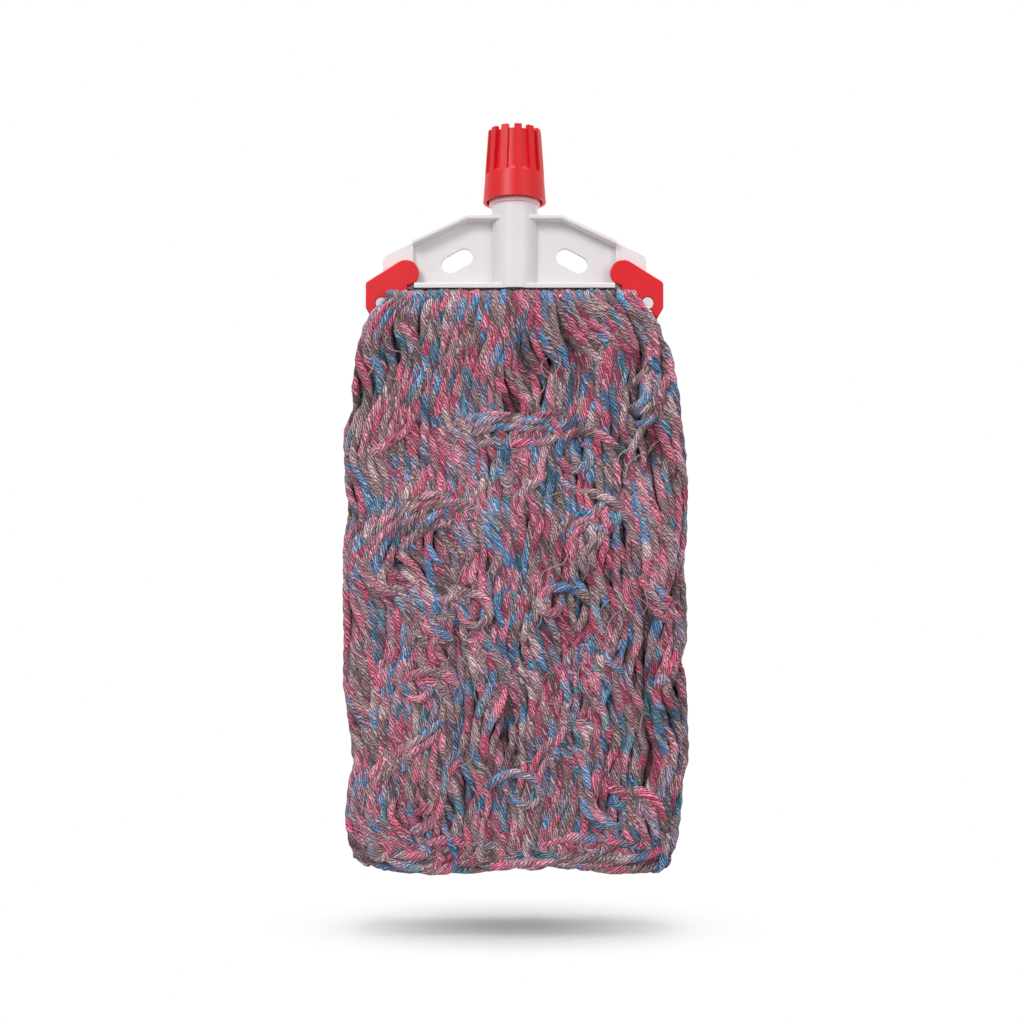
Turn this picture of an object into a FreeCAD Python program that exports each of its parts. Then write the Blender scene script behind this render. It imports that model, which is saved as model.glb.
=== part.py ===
import FreeCAD, Part
import math
import os
import re

import Sketcher

# String mop head in millimetres. +X runs along the frame, the mop faces -Y, and +Z points
# up the pole. The origin is the centre of the pole socket's mouth. Heights named "..._height"
# are measured up from the underside of the frame's ledge, where the yarn starts.

V = FreeCAD.Vector
doc = FreeCAD.newDocument("string_mop")

DIMENSIONS = [
    ("pole_radius", 12.5, "round pole, 25 mm"),
    ("pole_clearance", 0.2, "radial play of the pole in its socket"),
    ("socket_depth", 76.0, "mouth to floor"),
    ("mouth_to_ledge", 82.0, "mouth to the underside of the ledge"),
    ("neck_radius", 14.9, "threaded neck under its thread"),
    ("shoulder_drop", 23.4, "mouth to the top of the shoulder ring"),
    ("shoulder_thickness", 2.0, ""),
    ("shoulder_radius", 17.0, ""),
    ("tube_radius", 15.4, "tube under the shoulder"),
    ("tube_foot_radius", 14.3, "tube at the ledge, after its draft"),
    ("thread_pitch", 4.0, ""),
    ("thread_turns", 3.5, ""),
    ("thread_end_drop", 19.5, "mouth to the lowest turn"),
    ("thread_depth", 1.2, ""),
    ("thread_crest_width", 1.1, ""),
    ("thread_root_width", 2.3, ""),
    ("thread_clearance", 0.3, ""),
    ("web_thickness", 4.0, "plate between tube and end bosses"),
    ("rim_depth", 24.0, "rim and ledge, front to back"),
    ("rim_thickness", 3.2, ""),
    ("rim_top_height", 48.7, ""),
    ("rim_flat_half", 31.8, "half length of the level part of the rim"),
    ("end_height", 22.7, "top corner of the end bosses"),
    ("frame_half_width", 87.5, ""),
    ("boss_length", 20.1, "end boss, along the frame"),
    ("boss_thickness", 11.4, ""),
    ("boss_corner_radius", 5.0, ""),
    ("ledge_thickness", 3.3, ""),
    ("ledge_inset", 5.8, "clip's pivot to the end of the ledge"),
    ("moulded_radius", 0.9, "rounding of the frame's edges"),
    ("slot_offset", 38.3, "centre line to a slot's centre"),
    ("slot_height", 19.8, ""),
    ("slot_width", 11.7, ""),
    ("slot_length", 22.4, ""),
    ("slot_tilt", 28.0, "degrees"),
    ("collar_bottom_radius", 21.0, ""),
    ("collar_top_radius", 17.5, "over the ribs"),
    ("collar_top_rise", 24.5, "mouth to the top of the ribs"),
    ("collar_gap", 0.4, "collar to shoulder ring"),
    ("collar_lip_radius", 18.8, "recess around the shoulder ring"),
    ("collar_lip_depth", 2.6, ""),
    ("collar_skirt_height", 17.5, "plain cone under the ribs"),
    ("rib_count", 12.0, ""),
    ("rib_width", 4.7, ""),
    ("rib_depth", 2.5, ""),
    ("rib_overhang", 2.0, "ribs above the collar's top face"),
    ("rib_phase", 8.0, "degrees from the front centre"),
    ("collar_mouth_clearance", 0.6, "pole to the collar's top opening"),
    ("collet_clearance", 0.2, "collet's bore over the socket's"),
    ("collet_gap", 0.3, "collet to neck and collar"),
    ("collet_length", 17.7, ""),
    ("collet_foot_radius", 14.9, ""),
    ("collet_tip_radius", 14.0, ""),
    ("collet_slit", 3.0, ""),
    ("pivot_inset", 15.5, "frame's end to a clip's pivot"),
    ("pivot_height", 10.3, ""),
    ("clip_head_radius", 8.6, ""),
    ("clip_depth", 20.0, "clip, front to back"),
    ("clip_gap", 0.3, "clip cheek to end boss"),
    ("clip_slope", 32.0, "degrees, upper edge of a clip"),
    ("clip_overhang", 11.0, "frame's end to a clip's outer edge"),
    ("clip_web_radius", 22.0, "pivot to the web that joins the cheeks"),
    ("clip_corner_radius", 3.0, ""),
    ("clip_edge_radius", 0.9, ""),
    ("pin_radius", 3.0, ""),
    ("pin_head_radius", 5.0, ""),
    ("pin_head_thickness", 1.5, ""),
    ("pin_blind_depth", 8.5, "frame plane to the end of the front cheek's hole"),
    ("pin_fit", 0.03, "pin in the clip"),
    ("pin_running", 0.06, "pin in the boss"),
    ("trunnion_overhang", 0.5, "frame's end to a trunnion's axis"),
    ("trunnion_drop", 9.9, "ledge to the trunnions' axis"),
    ("trunnion_radius", 4.0, ""),
    ("trunnion_play", 0.35, ""),
    ("trunnion_recess", 0.4, "trunnion end behind the clip's face"),
    ("bar_thickness", 6.0, ""),
    ("bar_height", 7.0, ""),
    ("band_thickness", 1.0, "woven band around the bar"),
    ("band_gap", 0.3, ""),
    ("fold_end_gap", 3.0, "end of the yarn's fold to a clip's pivot"),
    ("fold_drop", 0.3, "ledge to the top of the fold"),
    ("fold_bottom_drop", 21.9, ""),
    ("fold_setback", 0.6, "fold's face behind the tube's front"),
    ("fold_round", 5.0, ""),
    ("seam_drop", 18.4, ""),
    ("seam_width", 2.0, ""),
    ("seam_depth", 1.6, ""),
    ("seam_thread_radius", 0.6, ""),
    ("curtain_gap", 0.4, "curtains to fold and to each other"),
    ("curtain_half_depth", 25.0, ""),
    ("curtain_top_drop", 0.6, ""),
    ("yarn_top_half", 80.0, "half width of the yarn under the ledge"),
    ("curtain_top_depth", 19.5, "face of the yarn just under the ledge"),
    ("curtain_bend_drop", 17.0, ""),
    ("yarn_bend_half", 95.5, "half width beside the clips"),
    ("yarn_shoulder_drop", 57.0, ""),
    ("yarn_shoulder_half", 109.0, ""),
    ("yarn_full_drop", 113.0, ""),
    ("yarn_full_half", 115.6, ""),
    ("yarn_middle_drop", 175.0, ""),
    ("yarn_belly_drop", 250.0, ""),
    ("yarn_low_drop", 330.0, ""),
    ("yarn_low_half", 113.0, ""),
    ("yarn_bottom_half", 97.5, "half width at the loops"),
    ("curtain_bottom_drop", 391.0, ""),
    ("curtain_bottom_depth", 22.5, ""),
    ("curtain_edge_round", 9.0, "how far the curtain's side edges lie back"),
    ("hank_groove", 5.0, "depth of the groove between two hanks"),
    ("hank_swell", 4.0, "unevenness of a hank's face"),
    ("hank_gap", 0.4, ""),
]

ALIASES = {row[0] for row in DIMENSIONS}
# Distances that follow from the frame's width and from the tube.
DERIVED = {
    "boss_start": "(frame_half_width - boss_length)",
    "pivot_offset": "(frame_half_width - pivot_inset)",
    "clip_outer_offset": "(frame_half_width + clip_overhang)",
    "trunnion_offset": "(frame_half_width + trunnion_overhang)",
    "ledge_half_length": "(frame_half_width - pivot_inset - ledge_inset)",
    "fold_half_length": "(frame_half_width - pivot_inset - fold_end_gap)",
    "fold_half_depth": "(tube_radius - fold_setback)",
}
HANKS_PER_CURTAIN = 6


def write_sheet():
    """Fill the spreadsheet with one named row for each driving dimension."""
    sheet = doc.addObject("Spreadsheet::Sheet", "sizes")
    for number, (alias, value, note) in enumerate(DIMENSIONS, start=1):
        sheet.set("A%d" % number, alias)
        sheet.set("B%d" % number, repr(value))
        sheet.set("C%d" % number, note)
        sheet.setAlias("B%d" % number, alias)
    doc.recompute()
    return sheet


SHEET = write_sheet()


def term(text):
    """Turn words that name a row of the sheet, or follow from some, into references."""
    def reference(found):
        word = found.group(0)
        if word in DERIVED:
            return term(DERIVED[word])
        return "sizes." + word if word in ALIASES else word

    return re.sub(r"[a-z]\w*", reference, text)


def amount(text):
    """Evaluate an expression over the sheet."""
    result = SHEET.evalExpression(term(text))
    return float(getattr(result, "Value", result))


def up(height):
    """Row height of a point measured up from the ledge's underside."""
    return "((%s) - mouth_to_ledge)" % height


def down(drop):
    """Row height of a point measured down from the ledge's underside."""
    return "(0 - mouth_to_ledge - (%s))" % drop


def new_body(name):
    body = doc.addObject("PartDesign::Body", name)
    body.Label = name
    doc.recompute()
    return body


def origin_part(body, role):
    return [item for item in body.Origin.OriginFeatures if item.Role == role][0]


def new_sketch(body, name, plane, offset="0"):
    """Sketch on one of the body's own planes, moved along that plane's normal."""
    sketch = body.newObject("Sketcher::SketchObject", name)
    sketch.AttachmentSupport = [(origin_part(body, plane), "")]
    sketch.MapMode = "FlatFace"
    sketch.setExpression("AttachmentOffset.Base.z", term("(%s) * 1 mm" % offset))
    doc.recompute()
    return sketch


def bind(sketch, kind, geometry, position, text):
    """Hold one point of the sketch at a distance from its origin that the sheet gives."""
    number = sketch.addConstraint(
        Sketcher.Constraint(kind, -1, 1, geometry, position, amount(text)))
    sketch.setExpression("Constraints[%d]" % number, term(text))


def polygon(sketch, corners):
    """Closed outline with straight sides; each corner is a pair of expressions."""
    places = [V(amount(across), amount(along), 0) for across, along in corners]
    first = sketch.GeometryCount
    count = len(places)
    for index in range(count):
        sketch.addGeometry(Part.LineSegment(places[index], places[(index + 1) % count]), False)
    for index in range(count):
        following = first + (index + 1) % count
        sketch.addConstraint(Sketcher.Constraint("Coincident", first + index, 2, following, 1))
    for index, (across, along) in enumerate(corners):
        bind(sketch, "DistanceX", first + index, 1, across)
        bind(sketch, "DistanceY", first + index, 1, along)


def circle(sketch, across, along, radius):
    """Circle whose centre and radius are expressions."""
    centre = V(amount(across), amount(along), 0)
    number = sketch.addGeometry(Part.Circle(centre, V(0, 0, 1), amount(radius)), False)
    bind(sketch, "DistanceX", number, 3, across)
    bind(sketch, "DistanceY", number, 3, along)
    held = sketch.addConstraint(Sketcher.Constraint("Radius", number, amount(radius)))
    sketch.setExpression("Constraints[%d]" % held, term(radius))


def pad(body, name, sketch, depth):
    """Pad to both sides of the sketch."""
    feature = body.newObject("PartDesign::Pad", name)
    feature.Profile = sketch
    feature.SideType = "Symmetric"
    feature.setExpression("Length", term(depth))
    return feature


def pocket(body, name, sketch, depth):
    """Cut to both sides of the sketch."""
    feature = body.newObject("PartDesign::Pocket", name)
    feature.Profile = sketch
    feature.SideType = "Symmetric"
    feature.setExpression("Length", term(depth))
    return feature


def turned(body, kind, name, sketch):
    """Revolution or Groove about the sketch's upright axis."""
    feature = body.newObject("PartDesign::" + kind, name)
    feature.Profile = sketch
    feature.ReferenceAxis = (sketch, ["V_Axis"])
    feature.Angle = 360
    return feature


def fillet(body, name, base, chosen, radius):
    """Round the edges of the base feature whose middle point passes the test."""
    doc.recompute()
    names = []
    for number, edge in enumerate(base.Shape.Edges, start=1):
        middle = edge.valueAt((edge.FirstParameter + edge.LastParameter) / 2)
        if chosen(edge, middle):
            names.append("Edge%d" % number)
    if not names:
        raise RuntimeError("no edges for " + name)
    feature = body.newObject("PartDesign::Fillet", name)
    feature.Base = (base, names)
    feature.setExpression("Radius", term(radius))
    return feature


def near(value, text, allowance=0.05):
    return abs(value - amount(text)) < allowance


def helix(body, kind, name, sketch):
    """Thread form swept up from the sketch's profile."""
    feature = body.newObject("PartDesign::" + kind, name)
    feature.Profile = sketch
    feature.ReferenceAxis = (sketch, ["V_Axis"])
    feature.Mode = "pitch-turns-angle"
    feature.setExpression("Pitch", term("thread_pitch"))
    return feature


RIM_TOP = up("rim_top_height")
END_TOP = up("end_height")
LEDGE = up("0")
RIM_FALL = "((rim_top_height - end_height) / (frame_half_width - rim_flat_half))"
RIM_AT_BOSS = "(%s - (boss_start - rim_flat_half) * %s)" % (RIM_TOP, RIM_FALL)
BORE = "(pole_radius + pole_clearance)"
PIVOT = up("pivot_height")
TRUNNION = down("trunnion_drop")


def make_socket_frame():
    """Moulded frame: pole socket with a threaded neck, plate, rim, ledge and end bosses."""
    body = new_body("socket_frame")

    tube = new_sketch(body, "tube_profile", "XZ_Plane")
    shoulder_bottom = "(0 - shoulder_drop - shoulder_thickness)"
    polygon(tube, [
        ("0", "0"),
        ("neck_radius", "0"),
        ("neck_radius", "0 - shoulder_drop"),
        ("shoulder_radius", "0 - shoulder_drop"),
        ("shoulder_radius", shoulder_bottom),
        ("tube_radius", shoulder_bottom),
        ("tube_foot_radius", LEDGE),
        ("0", LEDGE),
    ])
    turned(body, "Revolution", "tube", tube)

    plate = new_sketch(body, "plate_outline", "XZ_Plane")
    polygon(plate, [
        ("0 - boss_start", LEDGE),
        ("boss_start", LEDGE),
        ("boss_start", RIM_AT_BOSS),
        ("rim_flat_half", RIM_TOP),
        ("0 - rim_flat_half", RIM_TOP),
        ("0 - boss_start", RIM_AT_BOSS),
    ])
    pad(body, "plate", plate, "web_thickness")

    rim = new_sketch(body, "rim_outline", "XZ_Plane")
    polygon(rim, [
        ("0 - boss_start", RIM_AT_BOSS),
        ("0 - boss_start", RIM_AT_BOSS + " - rim_thickness * 1.1"),
        ("0 - rim_flat_half + 0.7", RIM_TOP + " - rim_thickness"),
        ("rim_flat_half - 0.7", RIM_TOP + " - rim_thickness"),
        ("boss_start", RIM_AT_BOSS + " - rim_thickness * 1.1"),
        ("boss_start", RIM_AT_BOSS),
        ("rim_flat_half", RIM_TOP),
        ("0 - rim_flat_half", RIM_TOP),
    ])
    pad(body, "rim", rim, "rim_depth")

    ledge = new_sketch(body, "ledge_outline", "XZ_Plane")
    polygon(ledge, [
        ("0 - ledge_half_length", LEDGE),
        ("ledge_half_length", LEDGE),
        ("ledge_half_length", up("ledge_thickness")),
        ("0 - ledge_half_length", up("ledge_thickness")),
    ])
    last = pad(body, "ledge", ledge, "rim_depth")

    for side, word in ((-1, "left"), (1, "right")):
        boss = new_sketch(body, word + "_boss_outline", "XZ_Plane")
        polygon(boss, [
            ("%d * boss_start" % side, LEDGE),
            ("%d * frame_half_width" % side, LEDGE),
            ("%d * frame_half_width" % side, END_TOP),
            ("%d * boss_start" % side, RIM_AT_BOSS),
        ])
        last = pad(body, word + "_boss", boss, "boss_thickness")

    def outer_corner(edge, middle):
        upright = near(middle.z, END_TOP) or near(middle.z, LEDGE)
        return near(abs(middle.x), "frame_half_width") and near(middle.y, "0") and upright

    last = fillet(body, "boss_corners", last, outer_corner, "boss_corner_radius")

    def front_or_back(edge, middle):
        straight = edge.Curve.TypeId == "Part::GeomLine"
        above_ledge = middle.z > amount(up("ledge_thickness")) - 0.1
        on_rim = near(abs(middle.y), "rim_depth / 2") and straight and above_ledge
        on_boss = near(abs(middle.y), "boss_thickness / 2") and abs(middle.x) > amount("boss_start") + 0.1
        return on_rim or on_boss

    fillet(body, "moulded_edges", last, front_or_back, "moulded_radius")

    bore = new_sketch(body, "bore_profile", "XZ_Plane")
    polygon(bore, [
        ("0", "0"),
        (BORE, "0"),
        (BORE, "0 - socket_depth"),
        ("0", "0 - socket_depth"),
    ])
    turned(body, "Groove", "bore", bore)

    for side, word in ((-1, "left"), (1, "right")):
        hole = new_sketch(body, word + "_pivot_circle", "XZ_Plane")
        circle(hole, "%d * pivot_offset" % side, PIVOT, "pin_radius + pin_running")
        pocket(body, word + "_pivot_hole", hole, "boss_thickness * 2")
        slot = new_sketch(body, word + "_slot_outline", "XZ_Plane")
        oblong(slot, side)
        pocket(body, word + "_slot", slot, "web_thickness * 2")

    form = new_sketch(body, "thread_form", "XZ_Plane")
    middle = "(0 - thread_end_drop)"
    polygon(form, [
        ("neck_radius - thread_clearance", middle + " - thread_root_width / 2"),
        ("neck_radius", middle + " - thread_root_width / 2"),
        ("neck_radius + thread_depth", middle + " - thread_crest_width / 2"),
        ("neck_radius + thread_depth", middle + " + thread_crest_width / 2"),
        ("neck_radius", middle + " + thread_root_width / 2"),
        ("neck_radius - thread_clearance", middle + " + thread_root_width / 2"),
    ])
    thread = helix(body, "AdditiveHelix", "neck_thread", form)
    thread.setExpression("Turns", term("thread_turns"))
    return body


def oblong(sketch, side):
    """Tilted slot: two arcs joined by two tangent lines, its inner end the higher one."""
    reach = "((slot_length - slot_width) / 2)"
    places = []
    for end in (-1, 1):
        across = "%d * (slot_offset + %d * %s * cos(slot_tilt * 1 deg))" % (side, end, reach)
        along = "%s - %d * %s * sin(slot_tilt * 1 deg)" % (up("slot_height"), end, reach)
        places.append((across, along))
    radius = amount("slot_width / 2")
    centres = [V(amount(across), amount(along), 0) for across, along in places]
    run = (centres[1] - centres[0]).normalize()
    turn = V(-run.y, run.x, 0) * radius
    heading = math.atan2(run.y, run.x)
    quarter = math.pi / 2
    ring = [Part.Circle(centre, V(0, 0, 1), radius) for centre in centres]
    far = sketch.addGeometry(Part.ArcOfCircle(ring[1], heading - quarter, heading + quarter), False)
    upper = sketch.addGeometry(Part.LineSegment(centres[1] + turn, centres[0] + turn), False)
    back = sketch.addGeometry(
        Part.ArcOfCircle(ring[0], heading + quarter, heading + 3 * quarter), False)
    lower = sketch.addGeometry(Part.LineSegment(centres[0] - turn, centres[1] - turn), False)
    for first, end, second, start in ((far, 2, upper, 1), (upper, 2, back, 1),
                                      (back, 2, lower, 1), (lower, 2, far, 1)):
        sketch.addConstraint(Sketcher.Constraint("Tangent", first, end, second, start))
    for arc, (across, along) in ((back, places[0]), (far, places[1])):
        bind(sketch, "DistanceX", arc, 3, across)
        bind(sketch, "DistanceY", arc, 3, along)
    held = sketch.addConstraint(Sketcher.Constraint("Radius", far, radius))
    sketch.setExpression("Constraints[%d]" % held, term("slot_width / 2"))


COLLAR_BOTTOM = "(collar_gap - shoulder_drop)"
COLLAR_FACE = "(collar_top_rise - rib_overhang)"
COLLAR_TAPER = "((collar_bottom_radius - collar_top_radius) / (collar_top_rise + shoulder_drop - collar_gap))"
THREAD_BORE = "(neck_radius + thread_clearance)"
COLLET_TOP = "(collet_gap + collet_length)"


def collar_radius(height):
    """Radius of the collar's outer cone at a row height."""
    return "(collar_bottom_radius - (%s - %s) * %s)" % (height, COLLAR_BOTTOM, COLLAR_TAPER)


def make_locking_collar():
    """Ribbed nut that screws down the neck and squeezes the collet onto the pole."""
    body = new_body("locking_collar")
    skirt_top = "(%s + collar_skirt_height)" % COLLAR_BOTTOM
    shell = new_sketch(body, "shell_profile", "XZ_Plane")
    lip_top = "(%s + collar_lip_depth)" % COLLAR_BOTTOM
    polygon(shell, [
        ("collar_lip_radius", COLLAR_BOTTOM),
        ("collar_bottom_radius", COLLAR_BOTTOM),
        (collar_radius(skirt_top), skirt_top),
        (collar_radius(skirt_top) + " - rib_depth", skirt_top + " + rib_depth"),
        (collar_radius(COLLAR_FACE) + " - rib_depth", COLLAR_FACE),
        ("pole_radius + collar_mouth_clearance", COLLAR_FACE),
        ("pole_radius + collar_mouth_clearance", COLLET_TOP + " + collet_gap"),
        ("collet_tip_radius + collet_gap", COLLET_TOP + " + collet_gap"),
        (THREAD_BORE, "0"),
        (THREAD_BORE, lip_top),
        ("collar_lip_radius", lip_top),
    ])
    turned(body, "Revolution", "shell", shell)

    rib = new_sketch(body, "rib_profile", "XZ_Plane")
    rib.setExpression("AttachmentOffset.Rotation.Axis.x", "0")
    rib.setExpression("AttachmentOffset.Rotation.Axis.y", "1")
    rib.setExpression("AttachmentOffset.Rotation.Axis.z", "0")
    rib.setExpression("AttachmentOffset.Rotation.Angle", term("rib_phase * 1 deg"))
    root = " - rib_depth - collet_gap"
    polygon(rib, [
        (collar_radius(skirt_top), skirt_top),
        (collar_radius("collar_top_rise"), "collar_top_rise"),
        (collar_radius("collar_top_rise") + root, "collar_top_rise"),
        (collar_radius("collar_top_rise") + root, COLLAR_FACE + " - rib_overhang"),
        (collar_radius(skirt_top) + root, skirt_top),
    ])
    first_rib = pad(body, "rib", rib, "rib_width")
    ring = body.newObject("PartDesign::PolarPattern", "rib_ring")
    ring.Originals = [first_rib]
    ring.Axis = (origin_part(body, "Z_Axis"), [""])
    ring.Angle = 360
    ring.setExpression("Occurrences", term("rib_count"))
    body.Tip = ring
    doc.recompute()

    groove = new_sketch(body, "groove_form", "XZ_Plane")
    middle = "(0 - thread_end_drop - thread_pitch)"
    root_half = "(thread_root_width / 2 + thread_clearance)"
    crest_half = "(thread_crest_width / 2 + thread_clearance)"
    crest = "neck_radius + thread_depth + thread_clearance"
    polygon(groove, [
        ("neck_radius", "%s - %s" % (middle, root_half)),
        (crest, "%s - %s" % (middle, crest_half)),
        (crest, "%s + %s" % (middle, crest_half)),
        ("neck_radius", "%s + %s" % (middle, root_half)),
        ("neck_radius - thread_clearance", "%s + %s" % (middle, root_half)),
        ("neck_radius - thread_clearance", "%s - %s" % (middle, root_half)),
    ])
    cut = helix(body, "SubtractiveHelix", "collar_thread", groove)
    cut.setExpression("Turns", term("thread_turns + 1.25"))
    return body


def make_split_collet():
    """Split ring in the collar's cone that grips the pole."""
    body = new_body("split_collet")
    ring = new_sketch(body, "ring_profile", "XZ_Plane")
    inner = BORE + " + collet_clearance"
    polygon(ring, [
        (inner, "collet_gap"),
        ("collet_foot_radius", "collet_gap"),
        ("collet_tip_radius", COLLET_TOP),
        (inner, COLLET_TOP),
    ])
    turned(body, "Revolution", "ring", ring)
    slit = new_sketch(body, "slit_outline", "XY_Plane", "collet_gap + collet_length / 2")
    polygon(slit, [
        ("0 - collet_slit / 2", "0"),
        ("collet_slit / 2", "0"),
        ("collet_slit / 2", "collar_bottom_radius"),
        ("0 - collet_slit / 2", "collar_bottom_radius"),
    ])
    pocket(body, "slit", slit, "collet_length * 2")
    return body


CHEEK_INNER = "(boss_thickness / 2 + clip_gap)"


def make_end_clip(side, word):
    """Red fork that swings on the frame's end and hooks over the gripper bar's trunnion."""
    body = new_body(word + "_end_clip")

    def at(across):
        return "%d * (%s)" % (side, across)

    head = new_sketch(body, "head_circle", "XZ_Plane")
    circle(head, at("pivot_offset"), PIVOT, "clip_head_radius")
    pad(body, "head", head, "clip_depth")

    arm = new_sketch(body, "arm_outline", "XZ_Plane")
    touch_across = "(pivot_offset + clip_head_radius * sin(clip_slope * 1 deg))"
    touch_along = "(%s + clip_head_radius * cos(clip_slope * 1 deg))" % PIVOT
    corner_along = "(%s - (clip_outer_offset - %s) * tan(clip_slope * 1 deg))" % (
        touch_along, touch_across)
    hook = "clip_outer_offset - 4.1"
    polygon(arm, [
        (at(touch_across), touch_along),
        (at("clip_outer_offset"), corner_along),
        (at("clip_outer_offset"), TRUNNION + " - 3.1"),
        (at(hook), TRUNNION + " - 10.3"),
        (at("trunnion_offset + 4.9"), TRUNNION + " - 8.6"),
        (at("trunnion_offset + 2.5"), TRUNNION + " - 4.9"),
        (at("trunnion_offset - 5.5"), TRUNNION + " + 1.9"),
        (at("pivot_offset - 1"), TRUNNION + " + 5.4"),
        (at("pivot_offset - 1"), PIVOT),
    ])
    last = pad(body, "arm", arm, "clip_depth")

    def outer_corner(edge, middle):
        here = near(abs(middle.x), "clip_outer_offset") and near(middle.y, "0")
        return here and (near(middle.z, corner_along) or near(middle.z, TRUNNION + " - 3.1"))

    last = fillet(body, "corner_round", last, outer_corner, "clip_corner_radius")

    def face_edge(edge, middle):
        return near(abs(middle.y), "clip_depth / 2")

    fillet(body, "edge_round", last, face_edge, "clip_edge_radius")

    gap = new_sketch(body, "fork_circle", "XZ_Plane")
    circle(gap, at("pivot_offset"), PIVOT, "clip_web_radius")
    pocket(body, "fork_gap", gap, CHEEK_INNER + " * 2")

    throat = new_sketch(body, "throat_circle", "XZ_Plane")
    circle(throat, at("trunnion_offset"), TRUNNION, "trunnion_radius + trunnion_play")
    pocket(body, "throat", throat, "clip_depth * 2")
    mouth = new_sketch(body, "mouth_outline", "XZ_Plane")
    reach = "(trunnion_radius + trunnion_play)"
    polygon(mouth, [
        (at("trunnion_offset - 0.8 * %s" % reach), TRUNNION + " + 0.6 * " + reach),
        (at("trunnion_offset + 0.57 * %s" % reach), TRUNNION + " - 0.82 * " + reach),
        (at("trunnion_offset + 0.4 * %s" % reach), TRUNNION + " - 3 * " + reach),
        (at("trunnion_offset - 3 * %s" % reach), TRUNNION + " - 3 * " + reach),
        (at("trunnion_offset - 3 * %s" % reach), TRUNNION + " + 0.2 * " + reach),
    ])
    pocket(body, "mouth", mouth, "clip_depth * 2")

    hole = new_sketch(body, "pin_circle", "XZ_Plane")
    circle(hole, at("pivot_offset"), PIVOT, "pin_radius + pin_fit")
    pocket(body, "pin_hole", hole, "pin_blind_depth * 2")
    seat = new_sketch(body, "pin_seat_circle", "XZ_Plane", "0 - clip_depth / 2")
    circle(seat, at("pivot_offset"), PIVOT, "pin_head_radius + pin_fit")
    pocket(body, "pin_seat", seat, "(pin_head_thickness + pin_fit) * 2")
    return body


def make_pivot_pin(side, word):
    """Headed pin put in from the back, through the end boss, into the front cheek."""
    body = new_body(word + "_pivot_pin")
    front = "(pin_fit - pin_blind_depth)"
    shank = new_sketch(body, "shank_circle", "XZ_Plane", "0 - (%s + clip_depth / 2) / 2" % front)
    circle(shank, "%d * pivot_offset" % side, PIVOT, "pin_radius")
    pad(body, "shank", shank, "clip_depth / 2 - " + front)
    head = new_sketch(body, "pin_head_circle", "XZ_Plane", "(pin_head_thickness - clip_depth) / 2")
    circle(head, "%d * pivot_offset" % side, PIVOT, "pin_head_radius")
    last = pad(body, "pin_head", head, "pin_head_thickness")

    def rim(edge, middle):
        return near(middle.y, "clip_depth / 2")

    fillet(body, "pin_head_round", last, rim, "pin_head_thickness / 3")
    return body


def make_gripper_bar():
    """Flat bar through the yarn with a round trunnion across each end."""
    body = new_body("gripper_bar")
    bar = new_sketch(body, "bar_outline", "XZ_Plane")
    polygon(bar, [
        ("0 - trunnion_offset", TRUNNION + " - bar_height / 2"),
        ("trunnion_offset", TRUNNION + " - bar_height / 2"),
        ("trunnion_offset", TRUNNION + " + bar_height / 2"),
        ("0 - trunnion_offset", TRUNNION + " + bar_height / 2"),
    ])
    pad(body, "bar", bar, "bar_thickness")
    for side, word in ((-1, "left"), (1, "right")):
        trunnion = new_sketch(body, word + "_trunnion_circle", "XZ_Plane")
        circle(trunnion, "%d * trunnion_offset" % side, TRUNNION, "trunnion_radius")
        last = pad(body, word + "_trunnion", trunnion, "clip_depth - 2 * trunnion_recess")

    def trunnion_rim(edge, middle):
        return near(abs(middle.y), "clip_depth / 2 - trunnion_recess")

    fillet(body, "trunnion_round", last, trunnion_rim, "trunnion_recess")
    return body


def rectangle(sketch, half_across, half_along, centre):
    polygon(sketch, [
        ("0 - " + half_across, "%s - %s" % (centre, half_along)),
        (half_across, "%s - %s" % (centre, half_along)),
        (half_across, "%s + %s" % (centre, half_along)),
        ("0 - " + half_across, "%s + %s" % (centre, half_along)),
    ])


BAND_INNER = "(bar_thickness / 2 + band_gap)"
BAND_INNER_UP = "(bar_height / 2 + band_gap)"


def make_headband():
    """Woven band that sleeves the bar inside the fold."""
    body = new_body("headband")
    sleeve = new_sketch(body, "sleeve_section", "YZ_Plane")
    rectangle(sleeve, "(%s + band_thickness)" % BAND_INNER,
              "(%s + band_thickness)" % BAND_INNER_UP, TRUNNION)
    rectangle(sleeve, BAND_INNER, BAND_INNER_UP, TRUNNION)
    pad(body, "sleeve", sleeve, "fold_half_length * 2")
    return body


def make_yarn_fold():
    """Yarn doubled over the banded bar and drawn in by a seam under it."""
    body = new_body("yarn_fold")
    section = new_sketch(body, "fold_section", "YZ_Plane")
    polygon(section, [
        ("0 - fold_half_depth", down("fold_bottom_drop")),
        ("fold_half_depth", down("fold_bottom_drop")),
        ("fold_half_depth", down("fold_drop") + " - fold_round"),
        ("fold_half_depth - fold_round", down("fold_drop")),
        ("fold_round - fold_half_depth", down("fold_drop")),
        ("0 - fold_half_depth", down("fold_drop") + " - fold_round"),
    ])
    rectangle(section, "(%s + band_thickness + band_gap)" % BAND_INNER,
              "(%s + band_thickness + band_gap)" % BAND_INNER_UP, TRUNNION)
    pad(body, "fold", section, "fold_half_length * 2")
    for side, word in ((-1, "front"), (1, "back")):
        seam = new_sketch(body, word + "_seam_outline", "XZ_Plane", "%d * fold_half_depth" % -side)
        polygon(seam, [
            ("0 - fold_half_length - 1", down("seam_drop") + " - seam_width / 2"),
            ("fold_half_length + 1", down("seam_drop") + " - seam_width / 2"),
            ("fold_half_length + 1", down("seam_drop") + " + seam_width / 2"),
            ("0 - fold_half_length - 1", down("seam_drop") + " + seam_width / 2"),
        ])
        pocket(body, word + "_seam", seam, "seam_depth * 2")
    return body


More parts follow.
